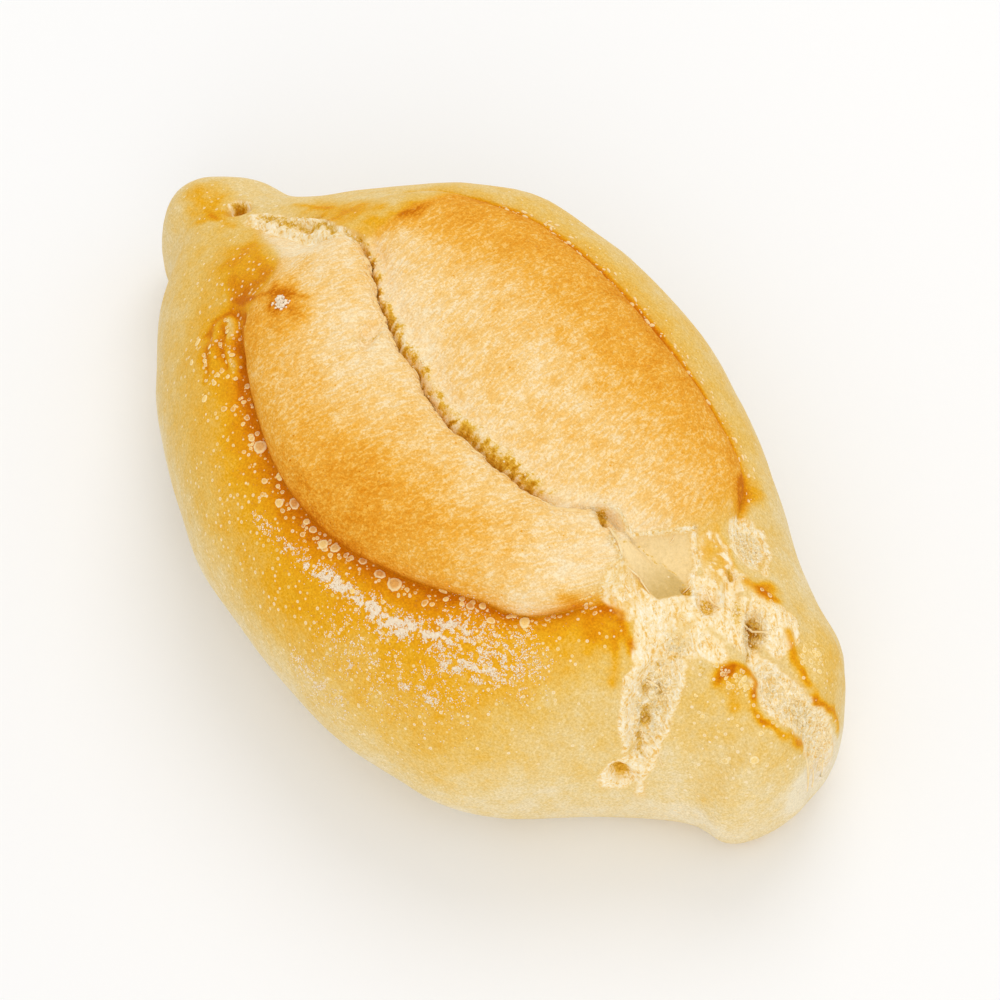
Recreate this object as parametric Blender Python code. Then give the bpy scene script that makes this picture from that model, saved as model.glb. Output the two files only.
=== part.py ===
"""A crusty oval bread roll, baked with one slash along its top.

The roll lies along X on a flat base at z = 0, with its small nub at -X and its large torn knob at +X.
The origin is on the base, under the middle of the roll. It is one solid: a closed grid of rounded
sections along X, whose columns follow the two rims of the slash and the crease between its lobes.
Lobes, grooves, tears and pits are then raised or sunk along the surface's own normal.
"""
import math

import bpy
import numpy as np

MM = 0.001

# Size of the whole roll, in millimetres
HALF_LENGTH = 70.0
NUB_ROUND = 9.0            # how far the rounding of the small end reaches in from its tip
KNOB_ROUND = 6.5           # the same at the large end
KNOB_LEAN = 0.14           # the large end is cut off at a slant: x lost for each mm towards +Y
KNOB_LEAN_FROM = 45.0
BOX_CENTRE = (0.13, -0.12)  # middle of the finished roll's box, which goes over the origin

# Sections along the roll: x, near edge, far edge, height of the crown, height of the widest place
SECTIONS = (
    (-70, -7.0, 6.5, 25, 12),
    (-65, -9.0, 8.0, 25, 12),
    (-60, -10.0, 11.0, 26, 12),
    (-53, -17.5, 13.5, 29, 12),
    (-44, -25.5, 23.5, 34, 14),
    (-30, -33.5, 36.5, 43, 16),
    (-12, -40.0, 41.0, 46, 17),
    (8, -42.0, 41.0, 46, 17),
    (28, -39.5, 34.5, 43, 16),
    (42, -32.0, 27.5, 39, 15),
    (52, -19.0, 23.5, 36, 14),
    (60, -10.5, 21.5, 31, 13),
    (66, -8.0, 16.5, 30, 12),
    (70, -4.5, 17.5, 28, 12),
)
TOP_POWER = 2.2            # 2 is an ellipse, more is squarer
LOW_POWER = 2.6
BASE_PRESS = 1.15          # the lower half would reach this much below the base, and is pressed flat

# Lines along the top, as x and y: the near rim of the slash, its crease and its far rim
NEAR_RIM = (
    (-70, -1), (-48, -7), (-34, -16.1), (-22, -23.8), (-10, -28.7), (2, -30.2), (14, -27.5), (26, -21.3),
    (34, -15.6), (38, -8.4), (43, -4.5), (56, 0.5), (64, 4), (70, 7),
)
CREASE = (
    (-70, 1), (-46, 0.5), (-38, 3), (-32, 3.7), (-28, 3), (-23, 0.6), (-12, -3.6), (-6, -5.6), (0, -6.9),
    (10, -7.6), (18, -6.3), (24, -4.1), (28.5, 0.8), (32, 1.3), (38, 2.6), (44, 4), (51, 8.5),
    (60, 8.5), (70, 9),
)
FAR_RIM = (
    (-70, 3), (-46, 10), (-36, 16), (-30, 21.5), (-22, 26), (-12, 29.5), (0, 30.6), (12, 29.4),
    (24, 28.2), (30, 26.5), (36, 22.6), (39, 18.4), (46, 17.6), (54, 16.5), (62, 13), (70, 11),
)

# Where each feature of the slash starts, is whole, ends and is gone, along x
NEAR_SPAN = (-37, -30, 35, 41)
CREASE_SPAN = (-33, -26, 19, 26)
FAR_SPAN = (-38, -28, 35, 41)

# Depths, heights and widths of the slash
NEAR_GROOVE = 2.4
NEAR_GROOVE_OUT = 4.0
NEAR_GROOVE_IN = 2.4
NEAR_PUFF = 2.0
NEAR_EDGE = 1.3            # how quickly the near lobe rounds over at the crease
FAR_GROOVE = 1.9
FAR_GROOVE_OUT = 1.4
FAR_GROOVE_IN = 2.0
FAR_PUFF = 1.9
FAR_SLOPE = 8.0            # the far lobe climbs slowly out of the crease
CREASE_DEPTH = 3.6
CREASE_OUT = 3.2
CREASE_STEP = 0.6
ROLL_OVER = 1.0            # the near lobe leans this far over the crease
ROLL_WIDTH = 1.2

# Sunk places: x, y, half length, half width, turn of the length in degrees, depth
TEARS = {
    "nub_hole": (-54.2, 0.1, 1.9, 1.4, 40, 2.6),
    "top_crack": (-38.0, 1.6, 10.5, 1.8, 14, 1.5),
    "crease_end_pit": (29.6, 0.6, 2.2, 1.3, 10, 2.2),
    "membrane_pocket": (38.6, 3.0, 6.2, 5.0, 100, 2.0),
    "bowl_pit": (46.6, 4.6, 2.2, 1.6, -40, 1.8),
    "middle_pits": (47.5, 8.2, 2.8, 1.1, -50, 1.0),
    "dark_slot": (53.4, 7.0, 3.4, 1.3, -45, 2.4),
    "oval_patch": (42.4, 16.4, 4.4, 2.4, -32, 0.8),
    "cross_tear": (51.4, -10.0, 5.8, 2.7, -66, 2.0),
    "tear_throat": (48.0, -3.4, 4.6, 2.6, -70, 1.0),
    "end_strip": (63.2, 5.3, 6.8, 3.0, 10, 1.6),
    "notch": (-13.4, -6.8, 2.6, 1.0, -55, 1.2),
}
# Holes low on the near side, stated in the same way with their height in place of y
SIDE_TEARS = {
    "side_hole": (53.1, 21.0, 2.3, 0.9, 112, 1.8),
}
# Raised places, stated in the same way, with a height in place of the depth
SWELLS = {
    "orange_patch": (-39.0, -8.0, 7.0, 4.5, 35, 0.9),
    "scar": (-31.0, -20.5, 6.0, 2.2, 50, 0.6),
    "arch": (57.5, -1.8, 5.5, 4.5, 15, 1.3),
    "crumb_pad": (54.6, 11.0, 4.6, 3.0, -40, 0.7),
    "knob_back": (62.0, 14.0, 6.5, 4.0, -15, 0.6),
}
# Slow unevenness of the crust: height, wavelength along x, wavelength along y, phase
WAVES = (
    (0.30, 47.0, 61.0, 0.4),
    (0.22, 29.0, 37.0, 2.1),
    (0.14, 17.0, 21.0, 4.4),
)
RELIEF_FROM = 3.0          # no relief on the base, all of it from the second height up
RELIEF_FULL = 12.0

# Facets: sections along the roll, and columns in each strip from the base round the near side
ROWS = 84
KNOB_CROWD = 0.7           # extra sections round the torn knob
KNOB_CENTRE = 47.0
KNOB_REACH = 14.0
NEAR_STRIPS = (2, 5, 6)    # base, below the widest place, up to the near rim
LOBE_STRIPS = (12, 13)     # near lobe, far lobe
FAR_STRIPS = (6, 5, 2)     # down to the widest place, below it, base
LOBE_CROWD = 0.6           # columns gather at the rims and at the crease
RIM_CROWD = 1.7

CRUST_COLOUR = (0.80, 0.55, 0.24, 1.0)
CRUST_ROUGHNESS = 0.75


def clear_scene():
    for obj in list(bpy.data.objects):
        bpy.data.objects.remove(obj, do_unlink=True)


def ease(start, stop, value):
    """0 before start, 1 after stop, and a smooth step between them."""
    t = np.clip((value - start) / (stop - start), 0, 1)
    return t * t * (3 - 2 * t)


def span(value, limits):
    """1 inside the middle two limits, 0 outside the outer two."""
    return ease(limits[0], limits[1], value) * (1 - ease(limits[2], limits[3], value))


def smooth_curve(x, knots, values):
    """A cubic through the knots, whose slope at each is the mean of its two neighbouring slopes."""
    knots = np.asarray(knots, float)
    values = np.asarray(values, float)
    gap = np.diff(knots)
    slope = np.diff(values) / gap
    inner = (slope[:-1] * gap[1:] + slope[1:] * gap[:-1]) / (gap[:-1] + gap[1:])
    tangent = np.concatenate([slope[:1], inner, slope[-1:]])
    x = np.clip(x, knots[0], knots[-1])
    i = np.clip(np.searchsorted(knots, x, side="right") - 1, 0, len(gap) - 1)
    t = (x - knots[i]) / gap[i]
    start = values[i] * (1 + 2 * t) * (1 - t) ** 2 + tangent[i] * gap[i] * t * (1 - t) ** 2
    stop = values[i + 1] * t * t * (3 - 2 * t) + tangent[i + 1] * gap[i] * t * t * (t - 1)
    return start + stop


def section_value(x, place):
    return smooth_curve(x, [s[0] for s in SECTIONS], [s[place] for s in SECTIONS])


def line_y(x, line):
    return smooth_curve(x, [p[0] for p in line], [p[1] for p in line])


def row_places():
    """Places of the sections: close together at both tips, and closer round the torn knob."""
    angle = np.linspace(0, math.pi, 4001)
    density = 1 + KNOB_CROWD * np.exp(-((HALF_LENGTH * np.cos(angle) + KNOB_CENTRE) / KNOB_REACH) ** 2)
    steps = np.diff(angle) * (density[1:] + density[:-1]) / 2
    total = np.concatenate([[0], np.cumsum(steps)])
    even = np.interp(np.linspace(0, total[-1], ROWS + 1), total, angle)
    return (-HALF_LENGTH * np.cos(even))[1:-1]


def tip_rounding(x):
    """Share of the full section left near a tip, along a quarter circle at each end."""
    nub = np.clip((x + HALF_LENGTH) / NUB_ROUND, 0, 1)
    knob = np.clip((HALF_LENGTH - x) / KNOB_ROUND, 0, 1)
    return np.sqrt(1 - (1 - nub) ** 2) * np.sqrt(1 - (1 - knob) ** 2)


def angle_over(y, middle, half):
    """Angle round the section at which its upper half stands over y."""
    share = np.clip((y - middle) / half, -0.999, 0.999)
    return np.arccos(np.sign(share) * np.abs(share) ** (TOP_POWER / 2))


def column_angles(x, middle, half):
    """Angle of every column at every section, from under the middle round the near side and over."""
    foot = math.asin((1 / BASE_PRESS) ** (LOW_POWER / 2))
    rims = [angle_over(line_y(x, line), middle, half) for line in (NEAR_RIM, CREASE, FAR_RIM)]
    whole = np.ones_like(x)
    under = [1.5 * math.pi * whole, (math.pi + foot) * whole, math.pi * whole]
    over = [0 * whole, -foot * whole, -0.5 * math.pi * whole]
    edges = under + rims + over
    counts = NEAR_STRIPS + LOBE_STRIPS + FAR_STRIPS
    strips = []
    for k, count in enumerate(counts):
        share = np.arange(count) / count
        if k == 2:
            share = 1 - (1 - share) ** RIM_CROWD
        elif k in (3, 4):
            share = share - LOBE_CROWD * np.sin(2 * math.pi * share) / (2 * math.pi)
        elif k == 5:
            share = share ** RIM_CROWD
        strips.append(edges[k][:, None] * (1 - share) + edges[k + 1][:, None] * share)
    return np.concatenate(strips, axis=1)


def plain_loaf():
    """The roll without relief: superellipse sections, their lower halves pressed flat on the base."""
    x = row_places()
    near, far, crown, waist = (section_value(x, place)[:, None] for place in (1, 2, 3, 4))
    middle, half = (near + far) / 2, (far - near) / 2
    angle = column_angles(x, middle[:, 0], half[:, 0])
    keep = tip_rounding(x)[:, None]
    across, up = np.cos(angle), np.sin(angle)
    power = np.where(up > 0, TOP_POWER, LOW_POWER)
    y = middle + half * keep * np.sign(across) * np.abs(across) ** (2 / power)
    above = waist + (crown - waist) * keep * np.abs(up) ** (2 / TOP_POWER)
    below = waist * (1 - keep * BASE_PRESS * np.abs(up) ** (2 / LOW_POWER))
    z = np.maximum(np.where(up > 0, above, below), 0)
    reach = np.clip((x - KNOB_LEAN_FROM) / (HALF_LENGTH - KNOB_LEAN_FROM), 0, 1)[:, None]
    slanted = x[:, None] - KNOB_LEAN * reach ** 2 * (y - middle)
    return np.stack([slanted, y, z], axis=-1)


def normals(points):
    """Outward normals of a grid whose columns close round the roll."""
    along = np.gradient(points, axis=0)
    around = np.roll(points, -1, axis=1) - np.roll(points, 1, axis=1)
    normal = np.cross(along, around)
    return normal / np.maximum(np.linalg.norm(normal, axis=-1, keepdims=True), 1e-9)


def spot(x, y, place):
    """1 at the middle of an oval place, falling smoothly to 0 a little past its edge."""
    centre_x, centre_y, half_length, half_width, turn, _ = place
    turn = math.radians(turn)
    along = (x - centre_x) * math.cos(turn) + (y - centre_y) * math.sin(turn)
    across = (y - centre_y) * math.cos(turn) - (x - centre_x) * math.sin(turn)
    return np.exp(-((along / half_length) ** 2 + (across / half_width) ** 2) ** 2)


def slash_relief(x, y):
    """Height of the two lobes, the grooves along their rims and the crease between them."""
    near = y - line_y(x, NEAR_RIM)
    over = y - line_y(x, CREASE)
    far = line_y(x, FAR_RIM) - y
    near_width = np.where(near < 0, NEAR_GROOVE_OUT, NEAR_GROOVE_IN)
    near_groove = -NEAR_GROOVE * np.exp(-np.abs(near) / near_width)
    near_rise = (1 - np.exp(-np.maximum(near, 0) / NEAR_GROOVE_IN))
    near_lobe = NEAR_PUFF * near_rise * (1 - np.exp(-np.maximum(-over, 0) / NEAR_EDGE))
    crease_width = np.where(over < 0, CREASE_STEP, CREASE_OUT)
    crease = -CREASE_DEPTH * np.exp(-np.abs(over) / crease_width)
    far_width = np.where(far < 0, FAR_GROOVE_OUT, FAR_GROOVE_IN)
    far_groove = -FAR_GROOVE * np.exp(-np.abs(far) / far_width)
    far_rise = (1 - np.exp(-np.maximum(far, 0) / FAR_GROOVE_IN))
    far_lobe = FAR_PUFF * far_rise * (1 - np.exp(-np.maximum(over, 0) / FAR_SLOPE))
    near_part = (near_groove + near_lobe) * span(x, NEAR_SPAN)
    far_part = (far_groove + far_lobe) * span(x, FAR_SPAN)
    return near_part + far_part + crease * span(x, CREASE_SPAN)


def relief(x, y, z):
    """Height of the finished surface over the plain loaf."""
    height = slash_relief(x, y)
    for place in TEARS.values():
        height = height - place[-1] * spot(x, y, place)
    for place in SIDE_TEARS.values():
        height = height - place[-1] * spot(x, z, place) * (y < line_y(x, NEAR_RIM))
    for place in SWELLS.values():
        height = height + place[-1] * spot(x, y, place)
    for size, length_x, length_y, phase in WAVES:
        wave = np.sin(2 * math.pi * x / length_x + phase) * np.cos(2 * math.pi * y / length_y - phase)
        height = height + size * wave
    return height


def roll_over(x, y):
    """How far the near lobe's edge leans over the crease."""
    over = y - line_y(x, CREASE)
    return ROLL_OVER * np.exp(-((over + ROLL_OVER) / ROLL_WIDTH) ** 2) * span(x, CREASE_SPAN)


def loaf_points():
    """The finished grid of points: the plain loaf, raised or sunk along its normals."""
    plain = plain_loaf()
    x, y, z = plain[..., 0], plain[..., 1], plain[..., 2]
    free = ease(RELIEF_FROM, RELIEF_FULL, z)
    points = plain + normals(plain) * (relief(x, y, z) * free)[..., None]
    points[..., 1] += roll_over(x, y) * ease(RELIEF_FULL, 2 * RELIEF_FULL, z)
    points[..., :2] -= BOX_CENTRE
    return points


def tip_point(row):
    """The pole that closes the grid at a tip, in the middle of the last section."""
    return row.mean(axis=0)


def loaf_faces(rows, columns):
    """Triangles of the grid, in opposite diagonals by turns, and a fan at each tip."""
    faces = []
    for i in range(rows - 1):
        for j in range(columns):
            k = (j + 1) % columns
            a, b, c, d = i * columns + j, i * columns + k, (i + 1) * columns + k, (i + 1) * columns + j
            faces += [(a, c, b), (a, d, c)] if (i + j) % 2 else [(a, d, b), (b, d, c)]
    first, last = rows * columns, rows * columns + 1
    end = (rows - 1) * columns
    for j in range(columns):
        k = (j + 1) % columns
        faces.append((first, j, k))
        faces.append((last, end + k, end + j))
    return faces


def crust_material():
    material = bpy.data.materials.new("crust")
    material.use_nodes = True
    shader = material.node_tree.nodes["Principled BSDF"]
    shader.inputs["Base Color"].default_value = CRUST_COLOUR
    shader.inputs["Roughness"].default_value = CRUST_ROUGHNESS
    shader.inputs["Metallic"].default_value = 0.0
    return material


def make_roll():
    points = loaf_points()
    rows, columns = points.shape[:2]
    tips = [tip_point(points[0]), tip_point(points[-1])]
    vertices = np.concatenate([points.reshape(-1, 3), tips]) * MM
    mesh = bpy.data.meshes.new("bread_roll")
    mesh.from_pydata(vertices.tolist(), [], loaf_faces(rows, columns))
    mesh.materials.append(crust_material())
    mesh.shade_smooth()
    mesh.update()
    roll = bpy.data.objects.new("bread_roll", mesh)
    bpy.context.collection.objects.link(roll)


clear_scene()
make_roll()
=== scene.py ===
"""Looks of a crusty bread roll: its baked crust, torn lobes, open crumb, blisters and flour.

The roll's skin is one fine closed grid over the same named sizes as the solid it stands for.
Baking, crumb, tears and flour are worked out for every point of it and kept as attributes, which
the materials turn into colour. Blisters, flour, torn strands and crumbs are small joined meshes.
Lengths are in millimetres, and become metres where a mesh is made.
"""
import math

import bpy
import numpy as np
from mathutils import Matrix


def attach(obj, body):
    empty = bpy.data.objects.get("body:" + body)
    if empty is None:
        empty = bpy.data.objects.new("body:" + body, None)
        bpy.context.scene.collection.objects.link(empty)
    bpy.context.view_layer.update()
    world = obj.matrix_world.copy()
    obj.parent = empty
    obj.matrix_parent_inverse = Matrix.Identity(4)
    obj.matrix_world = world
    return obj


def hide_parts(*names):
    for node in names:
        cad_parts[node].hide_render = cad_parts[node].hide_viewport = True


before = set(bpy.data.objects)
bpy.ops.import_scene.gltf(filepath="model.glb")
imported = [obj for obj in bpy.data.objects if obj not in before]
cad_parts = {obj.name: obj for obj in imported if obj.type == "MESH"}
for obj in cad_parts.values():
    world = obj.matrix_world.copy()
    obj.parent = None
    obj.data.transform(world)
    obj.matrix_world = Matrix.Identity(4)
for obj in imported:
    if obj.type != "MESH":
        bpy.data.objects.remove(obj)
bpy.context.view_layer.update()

MM = 0.001

# Size of the whole roll, in millimetres
HALF_LENGTH = 70.0
NUB_ROUND = 9.0            # how far the rounding of the small end reaches in from its tip
KNOB_ROUND = 6.5           # the same at the large end
KNOB_LEAN = 0.14           # the large end is cut off at a slant: x lost for each mm towards +Y
KNOB_LEAN_FROM = 45.0
BOX_CENTRE = (0.13, -0.12)  # middle of the finished roll's box, which goes over the origin

# Sections along the roll: x, near edge, far edge, height of the crown, height of the widest place
SECTIONS = (
    (-70, -7.0, 6.5, 25, 12),
    (-65, -9.0, 8.0, 25, 12),
    (-60, -10.0, 11.0, 26, 12),
    (-53, -17.5, 13.5, 29, 12),
    (-44, -25.5, 23.5, 34, 14),
    (-30, -33.5, 36.5, 43, 16),
    (-12, -40.0, 41.0, 46, 17),
    (8, -42.0, 41.0, 46, 17),
    (28, -39.5, 34.5, 43, 16),
    (42, -32.0, 27.5, 39, 15),
    (52, -19.0, 23.5, 36, 14),
    (60, -10.5, 21.5, 31, 13),
    (66, -8.0, 16.5, 30, 12),
    (70, -4.5, 17.5, 28, 12),
)
TOP_POWER = 2.2            # 2 is an ellipse, more is squarer
LOW_POWER = 2.6
BASE_PRESS = 1.15          # the lower half would reach this much below the base, and is pressed flat

# Lines along the top, as x and y: the near rim of the slash, its crease and its far rim
NEAR_RIM = (
    (-70, -1), (-48, -7), (-34, -16.1), (-22, -23.8), (-10, -28.7), (2, -30.2), (14, -27.5), (26, -21.3),
    (34, -15.6), (38, -8.4), (43, -4.5), (56, 0.5), (64, 4), (70, 7),
)
CREASE = (
    (-70, 1), (-46, 0.5), (-38, 3), (-32, 3.7), (-28, 3), (-23, 0.6), (-12, -3.6), (-6, -5.6), (0, -6.9),
    (10, -7.6), (18, -6.3), (24, -4.1), (28.5, 0.8), (32, 1.3), (38, 2.6), (44, 4), (51, 8.5),
    (60, 8.5), (70, 9),
)
FAR_RIM = (
    (-70, 3), (-46, 10), (-36, 16), (-30, 21.5), (-22, 26), (-12, 29.5), (0, 30.6), (12, 29.4),
    (24, 28.2), (30, 26.5), (36, 22.6), (39, 18.4), (46, 17.6), (54, 16.5), (62, 13), (70, 11),
)

# Where each feature of the slash starts, is whole, ends and is gone, along x
NEAR_SPAN = (-37, -30, 35, 41)
CREASE_SPAN = (-33, -26, 19, 26)
FAR_SPAN = (-38, -28, 35, 41)

# Depths, heights and widths of the slash
NEAR_GROOVE = 2.4
NEAR_GROOVE_OUT = 4.0
NEAR_GROOVE_IN = 2.4
NEAR_PUFF = 2.0
NEAR_EDGE = 1.3            # how quickly the near lobe rounds over at the crease
FAR_GROOVE = 1.9
FAR_GROOVE_OUT = 1.4
FAR_GROOVE_IN = 2.0
FAR_PUFF = 1.9
FAR_SLOPE = 8.0            # the far lobe climbs slowly out of the crease
CREASE_DEPTH = 3.6
CREASE_OUT = 3.2
CREASE_STEP = 0.6
ROLL_OVER = 1.0            # the near lobe leans this far over the crease
ROLL_WIDTH = 1.2

# Sunk places: x, y, half length, half width, turn of the length in degrees, depth
TEARS = {
    "nub_hole": (-54.2, 0.1, 1.9, 1.4, 40, 2.6),
    "top_crack": (-38.0, 1.6, 10.5, 1.8, 14, 1.5),
    "crease_end_pit": (29.6, 0.6, 2.2, 1.3, 10, 2.2),
    "membrane_pocket": (38.6, 3.0, 6.2, 5.0, 100, 2.0),
    "bowl_pit": (46.6, 4.6, 2.2, 1.6, -40, 1.8),
    "middle_pits": (47.5, 8.2, 2.8, 1.1, -50, 1.0),
    "dark_slot": (53.4, 7.0, 3.4, 1.3, -45, 2.4),
    "oval_patch": (42.4, 16.4, 4.4, 2.4, -32, 0.8),
    "cross_tear": (51.4, -10.0, 5.8, 2.7, -66, 2.0),
    "tear_throat": (48.0, -3.4, 4.6, 2.6, -70, 1.0),
    "end_strip": (63.2, 5.3, 6.8, 3.0, 10, 1.6),
    "notch": (-13.4, -6.8, 2.6, 1.0, -55, 1.2),
}
# Holes low on the near side, stated in the same way with their height in place of y
SIDE_TEARS = {
    "side_hole": (53.1, 21.0, 2.3, 0.9, 112, 1.8),
}
# Raised places, stated in the same way, with a height in place of the depth
SWELLS = {
    "orange_patch": (-39.0, -8.0, 7.0, 4.5, 35, 0.9),
    "scar": (-31.0, -20.5, 6.0, 2.2, 50, 0.6),
    "arch": (57.5, -1.8, 5.5, 4.5, 15, 1.3),
    "crumb_pad": (54.6, 11.0, 4.6, 3.0, -40, 0.7),
    "knob_back": (62.0, 14.0, 6.5, 4.0, -15, 0.6),
}
# Slow unevenness of the crust: height, wavelength along x, wavelength along y, phase
WAVES = (
    (0.30, 47.0, 61.0, 0.4),
    (0.22, 29.0, 37.0, 2.1),
    (0.14, 17.0, 21.0, 4.4),
)
RELIEF_FROM = 3.0          # no relief on the base, all of it from the second height up
RELIEF_FULL = 12.0

# The skin's grid: sections along the roll, and columns in each strip from the base round the near side
ROWS = 452
KNOB_CROWD = 0.9           # extra sections round the torn knob
KNOB_CENTRE = 49.0
KNOB_REACH = 14.0
NEAR_STRIPS = (4, 16, 28)  # base, below the widest place, up to the near rim
LOBE_STRIPS = (66, 70)     # near lobe, far lobe
FAR_STRIPS = (18, 12, 4)   # down to the widest place, below it, base
LOBE_CROWD = 0.35          # columns gather at the rims and at the crease
RIM_CROWD = 1.3
# Past the near rim's end its columns swing out, so that the torn side of the knob has fine ones too
RIM_KEPT = 10
KNOB_GRID = ((44, -12.5), (50, -16), (56, -10.5), (62, -6.5), (66, -5), (70, -2.5))

# Raggedness of the torn edge at the crease: height of each wave of noise and its length
EDGE_WAVES = ((0.50, 4.5), (0.32, 1.9), (0.16, 0.9))

# Edges of the torn surfaces that the rims don't give, as x and y
TORN_EDGE = (
    (-70, 4), (-50, 0), (-46, -2.2), (-41, -3.6), (-36, -5.2), (-33, -9), (-31, -15), (-29, -24),
    (-20, -45),
)
FAR_LOBE_START = -29.5     # along x; it moves by the slant for each mm towards +Y
FAR_LOBE_SLANT = 0.12
SLASH_STOP = (33, 41)      # the torn surfaces fade out between these, along x
# Softness of the torn surfaces' edges: how far outside they begin and how far inside they are whole
NEAR_RIM_EDGE = (-0.4, 0.5)
FAR_RIM_EDGE = (-0.3, 0.3)
CREASE_EDGE = (-0.5, 0.5)
START_EDGE = (-0.8, 1.2)

# Baking: 0 is the palest crust, 1 the darkest brown
CRUST_PALEST = 0.10
CROWN_BAKE = 0.14          # more of it towards the top
CROWN_HEIGHTS = (10, 30)
# The golden band under the near rim: how brown and how wide it is at places along x
BAND_BAKES = (
    (-70, 0.02), (-58, 0.14), (-46, 0.18), (-34, 0.32), (-10, 0.37), (30, 0.38), (38, 0.30), (45, 0.10),
    (52, 0.02), (70, 0.02),
)
BAND_WIDTHS = ((-70, 17), (-45, 19), (-15, 15), (5, 19), (25, 26), (38, 30), (45, 26), (70, 18))
BAND_FALL = 2.6            # how suddenly the band ends
RIM_BAND_BAKE = 0.17       # a narrower band inside it, next to the rim
RIM_BAND_WIDTH = 4.2
GROOVE_BAKE = 0.34
GROOVE_WIDTH = 1.6
GROOVE_SPAN = (-38, -28, 30, 38)
FAR_LINE_BAKES = ((-70, 0.2), (-35, 0.3), (-26, 0.9), (20, 0.9), (29, 0.55), (35, 0.15), (70, 0.1))
FAR_LINE_PLACE = 0.55      # of the dark line's middle, outside the far rim
FAR_LINE_WIDTH = 0.42
FAR_BAND_BAKE = 0.26
FAR_BAND_WIDTH = 6.0
BASE_BAKE = 0.30
BASE_LINE = (0.0, 1.5)     # heights between which the browner line round the base fades
CREASE_BLEND = (-4, 4)     # the near side's baking gives way to the far side's between these
# The near lobe: its palest baking, how much browner it gets towards its rim and how far in that reaches
# at places along x, the share of that reach that is wholly brown, and how brown and wide its edge is
NEAR_PALEST = 0.30
NEAR_LOBE_BAKES = ((-34, 0.32), (-15, 0.30), (5, 0.42), (20, 0.27), (32, 0.06), (44, 0.0))
NEAR_LOBE_WIDTHS = ((-40, 9), (-25, 19), (-10, 23), (5, 27), (20, 23), (44, 20))
NEAR_FULL = 0.15
NEAR_EDGE_BAKE = (0.26, 1.2)
NEAR_END_PALE = 0.12       # how much paler it gets between two places along x
NEAR_END = (22, 34)
# The far lobe: the same, then a browner line (how brown, how far in, how wide) and the pale crease side
FAR_PALEST = 0.43
FAR_LOBE_BAKE = 0.20
FAR_LOBE_WIDTHS = (7, 24)
FAR_INNER_LINE = (0.10, 3, 2.5)
FAR_PALE = 0.30
FAR_PALE_WIDTH = 6.0
# Browner places: x, y, half length, half width, turn and how much browner
BAKED_PLACES = {
    "orange_patch": (-38.4, -9.4, 6.6, 4.2, -10, 0.23),
    "patch_top": (-43.6, -6.6, 4.4, 2.6, 20, 0.12),
    "patch_middle": (-33.6, -11.2, 4.2, 3.0, -30, 0.06),
    "patch_corner": (-27.2, -11.0, 5.0, 2.4, -20, 0.30),
    "patch_low": (-36.5, -13.0, 3.5, 2.0, -30, 0.10),
    "lobe_top": (-36.0, -1.0, 8.0, 3.4, 10, -0.14),
    "far_band": (-35.0, 7.8, 9.5, 4.2, 14, 0.36),
    "far_band_end": (-28.0, 13.4, 3.6, 2.6, 78, 0.26),
    "nub_top": (-60.5, -1.0, 4.6, 3.0, 10, 0.20),
    "nub_side": (-55.4, -3.4, 3.4, 1.4, 30, 0.22),
    "scar": (-32.4, -20.6, 5.4, 2.0, -56, 0.14),
    "knob_top": (50.2, 12.2, 2.4, 1.5, -20, 0.42),
    "knob_near": (59, -5, 7, 5.5, 0, 0.10),
    "near_shoulder": (38, -14, 6, 4.5, -40, 0.12),
    "shoulder_top": (40.4, -9.2, 4.4, 2.6, -45, 0.28),
    "shoulder_spot": (45.4, -8.8, 1.7, 0.9, -40, 0.34),
    "rim_end": (35.4, 21.8, 3.8, 1.9, -52, 0.34),
    "rim_end_low": (39.6, 18.8, 2.4, 1.0, -30, 0.26),
    "knob_side": (60, 14, 9, 5, -20, 0.10),
    "far_crust_end": (45, 19, 7, 2.5, -30, 0.08),
    "arch_inside": (56.6, -0.3, 2.6, 1.8, 30, 0.22),
    "strip_by_membrane": (42.0, 10.4, 4.6, 2.4, -25, 0.34),
}
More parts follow.
